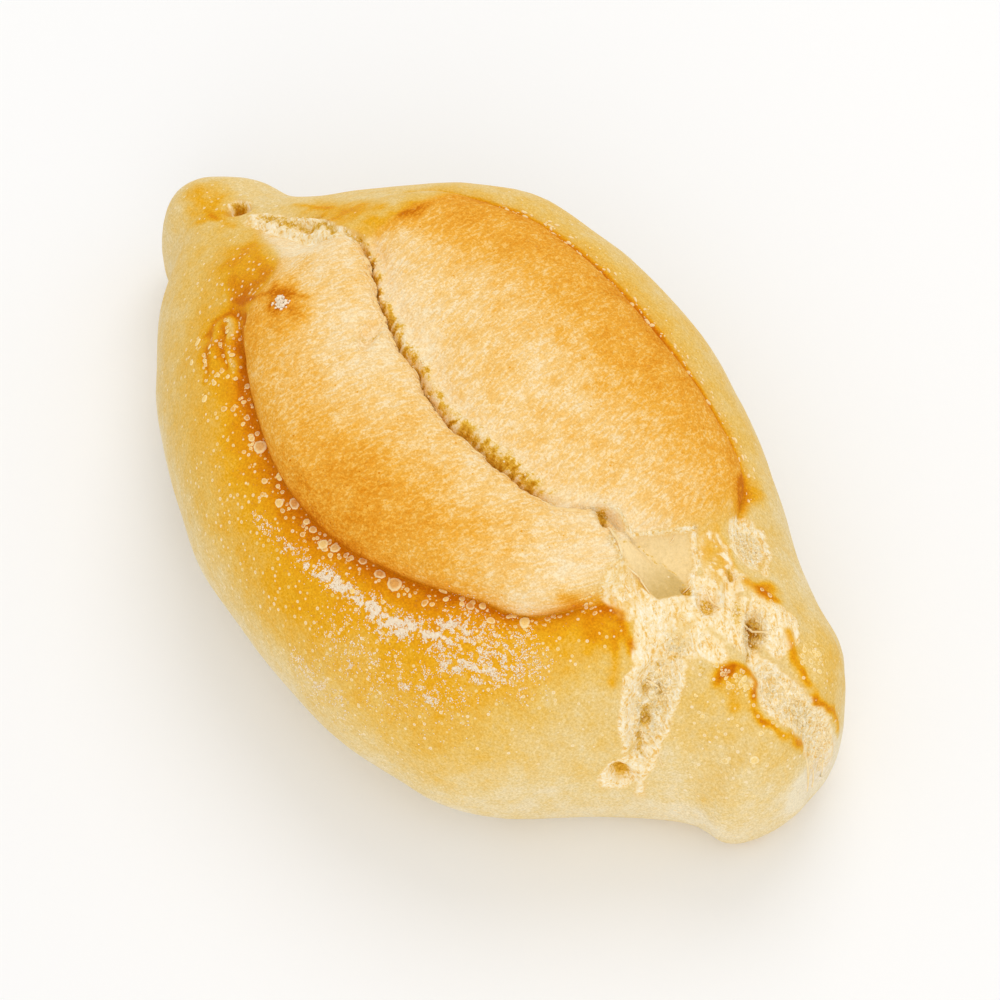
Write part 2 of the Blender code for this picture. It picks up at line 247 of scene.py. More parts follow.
# Baked lines: half width, height, how much browner, and the path as x and y
BAKED_LINES = {
    "scar_arc": (0.55, -0.25, 0.34, ((-36.0, -20.1), (-36.5, -17.7), (-35.6, -15.5), (-32.2, -15.4))),
    "groove_start": (0.55, -0.4, 0.40, ((-31.6, -15.6), (-28.5, -18.8), (-26.0, -22.3), (-22.2, -24.5))),
    "scar_inner": (0.35, -0.25, 0.30, ((-34.9, -17.3), (-33.0, -19.2), (-30.6, -21.0), (-28.4, -22.9))),
    "scar_outer": (0.40, -0.2, 0.20, ((-35.4, -19.4), (-31.6, -23.4), (-29.6, -25.6))),
    "scar_wrinkle": (0.60, 0.45, -0.44, ((-34.4, -16.6), (-31.8, -19.1), (-29.8, -20.6), (-26.4, -22.7))),
    "scar_fold": (0.35, 0.30, -0.20, ((-35.2, -18.4), (-33.0, -20.8), (-30.4, -23.2))),
    "patch_streak": (0.5, 0.1, 0.28, ((-36.4, -13.8), (-31.6, -12.4), (-28.0, -10.6), (-24.2, -9.0))),
    "patch_cross": (0.5, 0.1, 0.12, ((-30.6, -9.8), (-27.6, -12.6), (-24.0, -12.6))),
    "patch_edge": (0.5, 0.1, 0.04, ((-42.0, -4.4), (-36.4, -5.2), (-32.4, -7.2), (-28.6, -7.6))),
    "nub_crease": (0.5, 0.0, 0.20, ((-58.4, -3.2), (-54.6, -3.4), (-51.0, -3.0))),
    "far_streak": (0.6, 0.1, 0.22, ((-47.0, 6.0), (-43.4, 6.8), (-40.0, 7.6))),
    "ragged_edge": (0.7, 0.15, 0.26, ((34.5, -12.4), (38.6, -8.0), (40.8, -6.8), (42.3, -7.8), (44.9, -8.6))),
    "ragged_tip": (0.7, 0.1, 0.22, ((42.5, -9.5), (45.2, -11.6), (46.6, -13.5))),
    "arch": (0.55, 0.4, 0.60, ((54.8, -1.8), (54.3, -0.6), (55.1, 1.2), (56.9, 2.9), (58.4, 3), (58.9, 1.8))),
    "near_end_edge": (0.6, 0.3, 0.50, ((59.4, 1.6), (60.6, 0.6), (63.0, 0.2), (65.8, 1.4), (67.8, 3.9))),
    "far_end_edge": (0.65, 0.3, 0.50, ((55.6, 10.8), (58.4, 9.9), (61.6, 9.2), (64.8, 9.2), (67.2, 11.4))),
    "pad_edge": (0.9, 0.2, 0.40, ((47.4, 11.2), (49.4, 11.8), (51.4, 12.6))),
}
LINE_STRENGTH = (0.9, 0.2, 1.4)  # of the baked lines: mean, least and most
# The heights between which the marks of the top fade out, down the sides
TOP_MARKS = (13, 17)
# Open crumb: the tears it fills, how much it reaches past them, and places of its own
CRUMB_TEARS = (
    "top_crack", "bowl_pit", "middle_pits", "dark_slot", "oval_patch", "cross_tear", "end_strip",
    "tear_throat",
)
CRUMB_GROW = 1.1
CRUMB_PLACES = {
    "throat": (44.6, 0.4, 9.0, 4.6, -38),
    "throat_near": (45.2, -5.4, 5.6, 2.6, -52),
    "knob_middle": (49.0, 6.6, 6.5, 4.8, -42),
    "behind_membrane": (42.6, 9.8, 4.6, 2.4, -30),
    "throat_low": (51.4, 0.2, 3.2, 1.9, 25),
    "pad": (54.8, 10.2, 4.0, 2.8, -48),
    "end_tip": (67.8, 8.0, 2.4, 2.6, 80),
    "crack_edge": (-41, 2.0, 9.5, 2.0, 12),
    "lobe_end": (38.6, -4.6, 4.4, 3.0, -30),
    "nub_hole": (-55.0, 1.0, 2.3, 1.8, 20),
}
CRUMB_EDGE = (0.34, 0.56)  # levels between which crumb sets in
RIDGE_CRUMB = (0.8, 1.5)   # how much crumb the pale ridges show, and how much wider than they are
LINE_COVER = 0.9           # how much of the crumb a baked line or the hollow hides
# Crumb that has browned: as places, with the share of crust that shows through
TOASTED = (
    (42.0, 10.2, 4.8, 2.0, -28, 0.90), (38.4, -4.4, 3.4, 2.2, -30, 0.50), (47.0, -0.6, 3.4, 1.8, -50, 0.45),
    (33.4, 7.0, 3.4, 2.6, 0, 0.30), (48.6, 9.6, 1.8, 1.2, -40, 0.70),
)
TOASTED_EDGE = (-0.3, 0.2)     # the noise between which it sets in
# Sponge in the crumb: x, y, half length, half width, turn, size of its cells and their depth
SPONGE = {
    "end_strip": (63.4, 5.4, 6.4, 3.0, 10, 0.85, 0.22),
    "oval_patch": (42.8, 16.6, 3.9, 2.2, -32, 0.90, 0.22),
    "cross_tear": (51.6, -10.0, 5.4, 2.4, -66, 1.30, 0.36),
    "slot": (53.6, 7.0, 3.4, 1.6, -45, 1.10, 0.35),
    "throat": (48.6, -3.0, 2.6, 1.8, -60, 1.00, 0.25),
}
SPONGE_DRAW = 1.5          # how much longer than wide the cells are
CELL_WALL = (0.05, 0.42)   # where a cell's wall ends and where its middle begins
# Crumb that fills part of a tear's depth: x, y, half length, half width, turn and height
FILLS = (
    (51.6, -9.6, 4.6, 2.0, -66, 0.9), (-38.8, 2.2, 10.0, 2.0, 13, 1.2), (28.6, 0.8, 2.6, 1.5, 10, 1.4),
    (46.6, 4.6, 2.2, 1.6, -40, 0.5), (53.4, 7.0, 3.2, 1.3, -45, 0.8), (63.2, 5.3, 6.0, 2.6, 10, 0.4),
    (-35.4, -0.6, 4.4, 2.6, 20, -0.8),
)
# Crumb that fills part of the crease's depth, how high its bits are, and the noise between and on them
CREASE_FILL = 1.2
CREASE_BIT_HEIGHT = 0.40
CREASE_BIT_EDGE = (-0.5, 0.4)
STRAND_HEIGHT = 0.20       # of the strands in open crumb
# Pits: x, y, half length, half width, turn and depth
PITS = (
    (-55.4, 1.1, 1.4, 1.1, 40, 1.1), (-40.2, 5.0, 0.8, 0.5, 20, 0.9), (-38.6, 2.3, 0.7, 0.5, 20, 0.8),
    (-37.0, 4.1, 0.7, 0.4, 0, 0.7), (-30.0, 4.8, 0.7, 0.5, 10, 0.9), (-33.9, 2.2, 0.4, 0.3, 0, 0.5),
    (-46.6, 0.9, 0.7, 0.4, 20, 0.6), (28.9, 0.6, 1.6, 0.9, -35, 0.7), (30.1, -0.2, 0.7, 0.5, -40, 0.8),
    (47.2, 4.3, 1.7, 1.2, -50, 0.6), (45.4, 10.2, 1.0, 0.6, -30, 0.8), (50.2, 6.8, 2.6, 0.9, -42, 0.4),
    (52.5, 8.2, 0.9, 0.6, -50, 0.9), (53.9, 7.6, 1.4, 0.8, -50, 1.0), (54.9, 6.5, 0.9, 0.6, -50, 0.8),
    (55.9, 4.3, 0.8, 0.3, -60, 0.6), (43.8, 3.2, 0.8, 0.35, -42, 0.8), (50.3, -10.4, 0.9, 0.6, -60, 0.65),
    (51.6, -8.9, 0.6, 0.4, -30, 0.55), (52.6, -12.3, 1.3, 0.7, -60, 0.8), (53.6, -14.2, 0.8, 0.5, -50, 0.55),
    (49.4, -6.6, 0.6, 0.4, -40, 0.4), (49.8, -4.0, 0.6, 0.4, -40, 0.4),
)
PIT_SHIFT = 0.35           # how far noise shifts the edges of pits
# How dark the painted shade in hollows is: sponge, pits and cuts (at no depth and for each mm), holes of
# the side, and the crease (on its bits and between them)
SPONGE_DARK = 0.44
PIT_DARK = (0.35, 0.6)
CUT_DARK = (0.48, 0.4)
SIDE_HOLE_DARK = 0.8
CREASE_DARK = (0.32, 0.50)
# The hollow behind the torn membrane: its corners, and the fold between its two panels, which get painted
# light and shade
POCKET = (
    (33.0, -0.9), (33.8, 1.8), (34.7, 3.6), (35.3, 5.2), (36.6, 7.7), (37.4, 9.5), (39.0, 8.4),
    (41.0, 7.3), (42.4, 4.9), (44.2, 2.6), (43.2, 1.6), (42.4, -0.9), (39.9, -1.1), (37.7, -1.4),
    (35.3, -1.6),
)
POCKET_FOLD = ((33.0, 1.0), (36.2, 3.0), (38.2, 3.3), (40.5, 4.2), (43.0, 3.9), (44.5, 2.8))
# Painted light and shade of the two panels, and how softly they set in
POCKET_SHADE = (35.0, 43.0)    # the panel on the near side gets darker from the first x to the second
PANEL_LIGHT = 0.72         # how light the far one is
POCKET_EDGE = (-0.2, 0.3)  # how softly the hollow begins, and one panel gives way to the other
FOLD_EDGE = (-0.3, 0.3)
# Pale raised edges: half width, height and path
PALE_RIDGES = {
    "membrane_edge": (0.34, 0.7, ((29.6, 2.6), (32.3, 2), (33.6, 2.2), (35, 5.3), (36.3, 7.9), (37.4, 10))),
    "membrane_side": (0.40, 0.5, ((37.4, 10.0), (39.3, 8.9), (41.4, 7.7), (42.7, 5.2), (44.5, 2.6))),
    "membrane_foot": (0.34, 0.4, ((44.5, 2.4), (43.4, 1.0), (42.6, -1.3), (39.9, -1.9))),
    "thread": (0.30, 0.6, ((31, 0.6), (31.5, -0.4), (32.1, -1.2), (33, -1.6), (34.7, -1.7), (35.2, -2.4))),
    "tear_left": (0.6, 0.5, ((49.0, -5.4), (47.7, -8.6), (47.6, -11.6), (49.8, -14.2), (52.4, -15.6))),
    "tear_right": (0.6, 0.5, ((50.6, -4.4), (52.6, -6.2), (54.0, -9.0), (55.0, -12.4), (55.0, -15.0))),
    "oval_rim": (0.4, 0.3, ((39.4, 19.4), (42.4, 19.6), (45.4, 17.8), (47.4, 14.8))),
    "strip_rim": (0.4, 0.35, ((59.0, 2.8), (62.2, 1.9), (65.0, 2.4), (67.2, 4.6))),
}
# Cuts: half width, depth and path
CUT_LINES = {
    "low_slit": (0.25, 0.3, ((52.4, -2.4), (53.1, -3.0), (53.6, -3.7))),
    "notch_slit": (0.24, 0.35, ((-14.4, -8.7), (-12.5, -5.4))),
    "crack_upper": (0.85, 0.40, ((-48.6, 0.6), (-45.4, 2.0), (-43.0, 3.4), (-40.2, 5.0))),
    "crack_lower": (0.70, 0.45, ((-45.3, 1.2), (-40.6, 2.2), (-38.5, 2.4), (-36.8, 4.0), (-34.0, 3.4))),
    "crack_end": (0.45, 0.40, ((-32.4, 4.0), (-29.4, 4.9))),
    "membrane_fold": (0.18, 0.16, ((33.5, 0), (34.2, 1.6), (36.2, 3.0), (38.2, 3.3), (40.5, 4.2), (43, 3.9))),
}
CUT_SHIFT = (0.4, -0.5)    # how far noise shifts them
# How many small pale specks the crust has: everywhere, and places with how many more
SPECKLED_LEAST = 0.43
SPECKLED = (
    (0, -34, 34, 9, 0, 0.55), (-33, -20, 9, 7, 50, 0.5), (60, -4, 10, 9, 0, 0.8), (61, 13, 7, 5, -20, 0.5),
    (-58, 0, 9, 8, 0, 0.4), (34, -18, 13, 10, -35, 0.6), (40, -10, 5, 4, -45, 0.6), (-40, -11, 9, 7, 0, 0.45),
    (56, -1, 4, 3, 0, 0.7), (8, -42, 32, 8, 0, 0.2), (50, 12, 3, 2, 0, 0.5),
)
PORED = 0.34               # as many, for the brown pores of the torn lobes
# How far crumbs reach up the far side of the crease, at places along x, and how softly they begin and end
CRUMBLY_REACH = (
    (-30, 0.8), (-22, 1.0), (-16, 1.3), (-9, 1.6), (-2.6, 1.5), (4, 1.8), (10.4, 2.2), (15, 2.3), (19, 2.1),
    (24.4, 1.3),
)
CRUMBLY_START = (-0.6, 0.2)
CRUMBLY_FALL = 2.0

# The pale edge of the hole in the knob's side, as x and z, how much crumb it shows, and its half width
SIDE_HOLE_RIM = ((52.6, 18), (52, 20.6), (52.2, 23.2), (53.2, 24.2), (54.2, 22.4), (54.3, 19.6), (53.4, 17.8))
HOLE_RIM_CRUMB = 0.95
HOLE_RIM_WIDTH = 0.8
# A floury pale patch low on the knob's end: x, y, z and radius, its flour, and how much paler it is baked
WHITE_END = (69.5, 7.0, 14.5, 6.5)
WHITE_FLOUR = 0.9
WHITE_PALE = 0.4

# Directions in degrees from +X that fibres run in
NEAR_FIBRE_TURN = 68.0
FAR_FIBRE_TURN = 95.0
THROAT_TURN = -30.0
# Noise over the skin: strength, size of its largest lumps, layers and seed, and for some the direction
# they are drawn out in, and how far
NOISES = {
    "patches": (0.06, 9.0, 3, 5),
    "streaks": (0.06, 2.6, 2, 6, NEAR_FIBRE_TURN, 1.6),
    "baked_shift_x": (1.4, 5.0, 3, 15),
    "baked_shift_y": (1.4, 5.0, 3, 19),
    "mottling": (0.45, 1.9, 2, 25),
    "line_wander": (0.4, 2.4, 2, 27),
    "line_strength": (0.5, 2.2, 2, 29),
    "strands": (1.0, 1.1, 2, 31, THROAT_TURN, 4.0),
    "crumb_edge": (0.26, 2.2, 4, 40),
    "pocket_edge": (0.25, 1.5, 2, 45),
    "toasted": (1.0, 0.9, 2, 47),
    "lobe_lumps": (0.16, 6.0, 2, 51),
    "lobe_fibres": (0.09, 1.4, 2, 55, NEAR_FIBRE_TURN, 3.5),
    "lobe_grain": (0.05, 1.0, 1, 61),
    "crust_lumps": (0.04, 3.0, 3, 71),
    "crumbs": (1.0, 0.95, 2, 81),
    "crumbly_end": (0.5, 1.3, 2, 83),
    "crease_bits": (1.0, 0.62, 2, 85, FAR_FIBRE_TURN, 2.4),
    "flour_clusters": (1.0, 0.6, 2, 91),
}

# Patterns of the materials: how many per metre, detail, roughness, and how far they bend
FIBRES = (1900.0, 3, 0.6, 0.5)
GRAIN = (1500.0, 3, 0.6)
CLOUDS = (300.0, 3, 0.6)
GRIT = (3100.0, 2, 0.7)
STRANDS = (1500.0, 3, 0.6, 1.0)
FLOUR_CLUSTERS = (1300.0, 4, 0.7)
FIBRE_DRAW = 2.6           # how much longer than wide fibres and strands are
STRAND_DRAW = 3.6
# How far patterns sway the baking; grit, the finest grain, has the lightness against it as well, as
# painted shade that is darkest where its bump sinks
FIBRE_STRENGTH = 0.46
GRAIN_STRENGTH = 0.25
CLOUD_STRENGTH = 0.35
CRUST_GRIT = (0.26, -0.60)
LOBE_GRIT = (0.16, -0.55)
FLECK_BAKE = 0.10          # how much browner the lobes are between their crisp pale flecks
FLECK_EDGE = (0.41, 0.50)
FIRST_SHARE = 0.6          # of the first of two patterns that are mixed
# Specks: cells per metre, growth with their number, largest size in cells, edge, thin middle and cover
SPECK_SCALE = 950.0
SPECK_GROWTH = 0.55
SPECK_SIZE = 0.28
SPECK_EDGE = (0.0, 0.07)
SPECK_MIDDLE = (0.10, 0.18)
SPECK_COVER = 0.85
PORE_BAKE = 0.30           # how much browner pores are
# Crumb: how far grit sways it, and the levels its tones run between
CRUMB_GRIT = -0.25
CRUMB_LEVELS = (0.38, 0.62)
# The hollow's painted light and shade: how far grain and grit sway its lightness
PANEL_GRAIN = 0.7
PANEL_GRIT = -0.3
# Pits' painted shade: how far grain and grit sway their darkness, grit their lightness, and where they set in
PIT_GRAIN = 1.1
PIT_GRIT = (0.7, -0.5)
PIT_EDGE = (0.20, 0.62)
# The sponge's cells get a tone of painted shade
# Fine sponge: cells per metre, where cells begin and are whole, how much crumb has, and its cover
SPONGE_SCALE = 1250.0
CELL_EDGE = (0.05, 0.26)
CRUMB_SPONGE = 0.22
CELL_COVER = 0.50
# Dust: shares of flour, clusters and grit in its thickness, where it sets in, least flour and cover
DUST_SHARES = (1.1, 2.6, 1.4)
DUST_EDGE = (2.26, 2.42)
DUST_LEAST = 0.02
DUST_COVER = 0.85
# Shine and relief of the crust: roughness, how much rougher where torn, mirroring; height of cells, grit
# and dust in the relief, its strength and its height in metres
CRUST_ROUGHNESS = 0.62
TORN_ROUGHER = 0.18
CRUST_MIRROR = 0.05
CELL_RELIEF = 0.9
GRIT_RELIEF = -0.5
DUST_RELIEF = 0.4
BUMP_STRENGTH = 0.6
BUMP_HEIGHT = 0.00025
# Blisters: where the pale ring begins and is whole, its strength, roughness and mirroring
RING_EDGE = (0.50, 0.85)
RING_STRENGTH = 0.65
BLISTER_ROUGHNESS = 0.5
BLISTER_MIRROR = 0.25
SMALL_MIRROR = 0.12        # mirroring of the other small pieces

# Small pieces; three values for radii, sizes or gaps are the least, how much more, and a power that
# keeps most of them near the least
DOME_SIDES = 9
DOME_RINGS = (0.42, 0.72, 0.91, 1.0)
DOME_FLATNESS = 0.26       # height of a blister for each mm of radius
DOME_WAVES = (0.12, 0.07)  # how far its outline is from round, in two and in three waves
DOME_ARCH = 0.55           # less is flatter on top and steeper at the edge
DOME_SINK = (0.3, 0.4)     # how far the edge and the base point lie under the skin, by its height
DOME_HEADING = (0.31, 0.90, 0.12)
# Small pieces lie only where the skin's outward direction and height are above these
GROUND_SLOPE = 0.02
GROUND_LOW = 8.0
# Large blisters by the near rim and on the knob: x, y and radius
BLISTERS = (
    (-14.7, -28.0, 1.1), (-16.6, -27.8, 0.5), (-8.8, -29.2, 0.7), (-9.9, -30.6, 0.5), (-3.9, -30.3, 0.9),
    (-5.6, -31.4, 0.7), (-0.6, -30.8, 0.5), (1.0, -31.0, 0.6), (3.9, -31.3, 0.8), (5.5, -30.6, 0.75),
    (10.0, -29.2, 0.6), (13.3, -28.6, 0.8), (16.0, -28.0, 1.15), (21.9, -23.8, 0.6), (23.2, -24.1, 0.45),
    (21.4, -26.5, 0.55), (26.3, -22.2, 0.65), (27.5, -21.0, 0.6), (31.1, -19.0, 0.45), (29.8, -21.3, 0.6),
    (33.1, -17.9, 0.9), (-36.4, -21.4, 0.6), (-34.2, -24.0, 0.5), (-27.4, -27.2, 0.6), (-23.4, -27.0, 0.5),
    (54.9, -0.4, 0.36), (55.9, 0.6, 0.44), (57.0, 1.6, 0.5), (56.6, -0.4, 0.36), (57.9, 1.0, 0.36),
    (56.2, 1.9, 0.3), (58.2, 2.0, 0.3), (49.4, 12.2, 0.35), (50.6, 12.4, 0.4), (51.4, 11.8, 0.3),
    (62.5, -6.0, 0.6), (65.5, -3.5, 0.7),
)
# Small blisters: how many, their radii, how they gather outside the near rim (least and usual distance,
# how slowly they thin out from there, span along x), and places with how many gather there
SMALL_BLISTERS = 380
BLISTER_RADII = (0.12, 0.34, 2.6)
BLISTER_GAPS = (0.3, 1.3, 1.5)
BLISTER_SPAN = (-34, -26, 34, 40)
BLISTER_PLACES = (
    (-31.4, -21.4, 5.6, 2.4, -56, 1.0), (59, -4, 8, 6, 0, 0.03), (56.4, 0.2, 2.4, 1.2, 35, 0.8),
    (38.6, -10.6, 3.0, 2.0, -45, 0.5), (59, 12, 3, 2, 0, 0.10),
)
BLISTER_SHIFT = 0.3        # how far each one is moved at random
BLISTER_PALE = (0.2, 0.9)  # least and most share of their own pale tone
# Chips by the far rim: how many, where along x, distance outside it, radii, height and length by radius,
# how they slope with the roll's top, and how much their directions vary
RIM_FLECKS = 130
RIM_FLECK_SPAN = (-24, 37)
RIM_FLECK_GAPS = (0.6, 1.6, 2)
RIM_FLECK_RADII = (0.07, 0.22, 2)
RIM_FLECK_FLATNESS = 0.5
RIM_FLECK_LENGTH = 1.9
RIM_FLECK_DROP = 0.12
CHIP_TURNS = 0.35
# Flakes of the near lobe, stated in the same way with their distance before the crease
EDGE_FLAKES = 130
EDGE_FLAKE_SPAN = (-29, 29)
EDGE_FLAKE_GAPS = (0.2, 0.8, 1)
EDGE_FLAKE_RADII = (0.22, 0.5)
EDGE_FLAKE_FLATNESS = 0.45
EDGE_FLAKE_LENGTH = 2.0
EDGE_FLAKE_DROP = 0.15
# Flour: how thick it lies, half width and path of each streak
FLOUR_STREAKS = (
    (0.30, 0.5, ((-8, -34.2), (-3, -34.3), (2.0, -34.2))),
    (0.65, 0.6, ((2.6, -34.3), (5.4, -33.9), (7.6, -33.4))),
    (0.90, 0.65, ((7.6, -33.4), (10.2, -33.0), (12.7, -32.7), (15.5, -32.0))),
    (1.0, 1.0, ((15.5, -32.0), (18.3, -31.5), (20.9, -31.0), (22.6, -29.8))),
    (0.95, 0.9, ((20.9, -30.6), (23.0, -29.4), (25.5, -28.1), (27.2, -27.2))),
    (0.62, 0.6, ((25.0, -26.4), (27.2, -25.2), (29.2, -23.6))),
    (0.62, 1.3, ((29.6, -28.6), (32.0, -26.9), (34.6, -25.8))),
    (0.32, 3.4, ((28, -26), (32, -25), (36, -22))),
    (0.40, 0.6, ((18.6, -33.4), (20.2, -33.2))),
    (0.45, 0.5, ((18.2, -37.9), (19.6, -37.5))),
    (0.40, 0.6, ((26.4, -34.8), (27.4, -34.4))),
    (0.42, 0.5, ((29.4, -33.6), (31.0, -32.8))),
    (0.26, 0.6, ((9.6, -41.0), (15.0, -41.0), (20.9, -40.4))),
    (0.14, 3.6, ((14, -36), (24, -35), (32, -30))),
)
# Loose flour: how many grains, their sizes and shift, and the noise that they cluster over and stray by
FLOUR_GRAINS = 14000
FLOUR_SIZES = (0.045, 0.10, 2)
FLOUR_GATHER = 1.5         # more is more of it where it is thick
FLOUR_SHIFT = 0.6
FLOUR_LEVEL = 0.1
FLOUR_STRAY = 0.20
# The white lump on the near lobe: place, number of grains, their spread and sizes, and its height
LUMP_PLACE = (-26.8, -11.3)
LUMP_GRAINS = 60
LUMP_SPREAD = 0.5
LUMP_SIZES = (0.18, 0.42)
LUMP_HEIGHT = 0.9
GRAIN_CORNERS = (0.7, 1.35)    # a grain's corners lie this far out, by its size
GRAIN_FLATNESS = 0.8           # its height for each mm of width
# Loose crumb: how many bits, their sizes and shift, and how many gather in crumb, its pits and the crease
CRUMB_BITS = 1500
CRUMB_BIT_SIZES = (0.06, 0.26, 3)
CRUMB_BIT_SHIFT = 0.3
CRUMB_BIT_SHARES = (0.3, 0.4, 0.4)
NUB_END = -50.0            # no loose crumb beyond this
# Random short threads: how many, how their directions vary and bend, lengths, lifts and radii
SHORT_THREADS = 36
THREAD_TURNS = 0.55
THREAD_BENDS = 0.5
THREAD_LENGTHS = (0.6, 1.6)
THREAD_LIFTS = (0.0, 0.10)
THREAD_RADII = (0.07, 0.13)
THREAD_SIDES = 5
THREAD_STEPS = 9
THREAD_TAPER = 0.35        # less is blunter at the ends
THREAD_TIP = 0.05          # length of the point at each end
THREAD_HEADING = (-0.2, -0.1, -1.0)
# Torn threads of crumb that stand clear of the surface: radius, lift in the middle and path
THREADS = (
    (0.20, 0.35, ((30.4, -0.2), (31.8, -1.0), (33.4, -1.4), (35.1, -1.9))),
    (0.17, 0.20, ((49.6, -9.6), (50.8, -9.0), (52.0, -8.8))),
    (0.18, 0.30, ((52.0, 6.4), (53.4, 7.8), (54.6, 8.4))),
    (0.16, 0.30, ((45.0, 5.8), (46.6, 5.6), (48.6, 5.2))),
    (0.15, 0.20, ((36.6, -1.8), (38.4, -1.0), (41.0, -1.2))),
)


def ease(start, stop, value):
    """0 before start, 1 after stop, and a smooth step between them."""
    t = np.clip((value - start) / (stop - start), 0, 1)
    return t * t * (3 - 2 * t)


def span(value, limits):
    """1 inside the middle two limits, 0 outside the outer two."""
    return ease(limits[0], limits[1], value) * (1 - ease(limits[2], limits[3], value))


def smooth_curve(x, knots, values):
    """A cubic through the knots, whose slope at each is the mean of its two neighbouring slopes."""
    knots = np.asarray(knots, float)
    values = np.asarray(values, float)
    gap = np.diff(knots)
    slope = np.diff(values) / gap
    inner = (slope[:-1] * gap[1:] + slope[1:] * gap[:-1]) / (gap[:-1] + gap[1:])
    tangent = np.concatenate([slope[:1], inner, slope[-1:]])
    x = np.clip(x, knots[0], knots[-1])
    i = np.clip(np.searchsorted(knots, x, side="right") - 1, 0, len(gap) - 1)
    t = (x - knots[i]) / gap[i]
    start = values[i] * (1 + 2 * t) * (1 - t) ** 2 + tangent[i] * gap[i] * t * (1 - t) ** 2
    stop = values[i + 1] * t * t * (3 - 2 * t) + tangent[i + 1] * gap[i] * t * t * (t - 1)
    return start + stop


def line_y(x, line):
    """The second value of a line's points at places along x."""
    return smooth_curve(x, *zip(*line))


def row_places():
    """Places of the sections: close together at both tips, and closer round the torn knob."""
    angle = np.linspace(0, math.pi, 4001)
    density = 1 + KNOB_CROWD * np.exp(-((HALF_LENGTH * np.cos(angle) + KNOB_CENTRE) / KNOB_REACH) ** 2)
    steps = np.diff(angle) * (density[1:] + density[:-1]) / 2
    total = np.concatenate([[0], np.cumsum(steps)])
    even = np.interp(np.linspace(0, total[-1], ROWS + 1), total, angle)
    return (-HALF_LENGTH * np.cos(even))[1:-1]


def tip_rounding(x):
    """Share of the full section left near a tip, along a quarter circle at each end."""
    nub = np.clip((x + HALF_LENGTH) / NUB_ROUND, 0, 1)
    knob = np.clip((HALF_LENGTH - x) / KNOB_ROUND, 0, 1)
    return np.sqrt(1 - (1 - nub) ** 2) * np.sqrt(1 - (1 - knob) ** 2)


def angle_over(y, middle, half):
    """Angle round the section at which its upper half stands over y."""
    share = np.clip((y - middle) / half, -0.999, 0.999)
    return np.arccos(np.sign(share) * np.abs(share) ** (TOP_POWER / 2))


def column_angles(x, middle, half):
    """Angle of every column at every section, from under the middle round the near side and over."""
    foot = math.asin((1 / BASE_PRESS) ** (LOW_POWER / 2))
    near_grid = NEAR_RIM[:RIM_KEPT] + KNOB_GRID
    rims = [angle_over(line_y(x, line), middle, half) for line in (near_grid, CREASE, FAR_RIM)]
    whole = np.ones_like(x)
    under = [1.5 * math.pi * whole, (math.pi + foot) * whole, math.pi * whole]
    over = [0 * whole, -foot * whole, -0.5 * math.pi * whole]
    edges = under + rims + over
    counts = NEAR_STRIPS + LOBE_STRIPS + FAR_STRIPS
    strips = []
    for k, count in enumerate(counts):     # 2 ends at the near rim, 3 and 4 are the lobes, 5 starts below
        share = np.arange(count) / count
        if k == 2:
            share = 1 - (1 - share) ** RIM_CROWD
        elif k in (3, 4):
            share = share - LOBE_CROWD * np.sin(2 * math.pi * share) / (2 * math.pi)
        elif k == 5:
            share = share ** RIM_CROWD
        strips.append(edges[k][:, None] * (1 - share) + edges[k + 1][:, None] * share)
    return np.concatenate(strips, axis=1)


def plain_loaf():
    """The roll without relief: superellipse sections, their lower halves pressed flat on the base."""
    x = row_places()
    places, *columns = zip(*SECTIONS)
    near, far, crown, waist = (smooth_curve(x, places, column)[:, None] for column in columns)
    middle, half = (near + far) / 2, (far - near) / 2
    angle = column_angles(x, middle[:, 0], half[:, 0])
    keep = tip_rounding(x)[:, None]
    across, up = np.cos(angle), np.sin(angle)
    power = np.where(up > 0, TOP_POWER, LOW_POWER)
    y = middle + half * keep * np.sign(across) * np.abs(across) ** (2 / power)
    above = waist + (crown - waist) * keep * np.abs(up) ** (2 / TOP_POWER)
    below = waist * (1 - keep * BASE_PRESS * np.abs(up) ** (2 / LOW_POWER))
    z = np.maximum(np.where(up > 0, above, below), 0)
    reach = np.clip((x - KNOB_LEAN_FROM) / (HALF_LENGTH - KNOB_LEAN_FROM), 0, 1)[:, None]
    slanted = x[:, None] - KNOB_LEAN * reach ** 2 * (y - middle)
    return np.stack([slanted, y, z], axis=-1)


def normals(points):
    """Outward normals of a grid whose columns close round the roll."""
    along = np.gradient(points, axis=0)
    around = np.roll(points, -1, axis=1) - np.roll(points, 1, axis=1)
    normal = np.cross(along, around)
    return normal / np.maximum(np.linalg.norm(normal, axis=-1, keepdims=True), 1e-9)


def turned(x, y, turn):
    """Lengths along and across the direction at a turn from +X in degrees."""
    turn = math.radians(turn)
    return x * math.cos(turn) + y * math.sin(turn), y * math.cos(turn) - x * math.sin(turn)


def spot(x, y, place):
    """1 at the middle of an oval place, falling smoothly to 0 a little past its edge."""
    centre_x, centre_y, half_length, half_width, turn = place[:5]
    along, across = turned(x - centre_x, y - centre_y, turn)
    return np.exp(-((along / half_length) ** 2 + (across / half_width) ** 2) ** 2)


def heaped(x, y, places):
    """The last values of all places together, each spread over its place."""
    return sum(place[-1] * spot(x, y, place) for place in places)


def crease_y(x):
    """The crease with its ragged edge: waves of noise along x where the lobes meet."""
    place = np.stack([x, 0 * x, 0 * x], axis=-1)
    wave = sum(height * lumps(place, length, k) for k, (height, length) in enumerate(EDGE_WAVES))
    return line_y(x, CREASE) + wave * span(x, CREASE_SPAN)


def groove(distance, depth, outside, within):
    """A groove along a line, that gets shallower as stated for either side of it."""
    return -depth * np.exp(-np.abs(distance) / np.where(distance < 0, outside, within))


def climb(distance, width):
    """0 before a line and ever closer to 1 past it."""
    return 1 - np.exp(-np.maximum(distance, 0) / width)


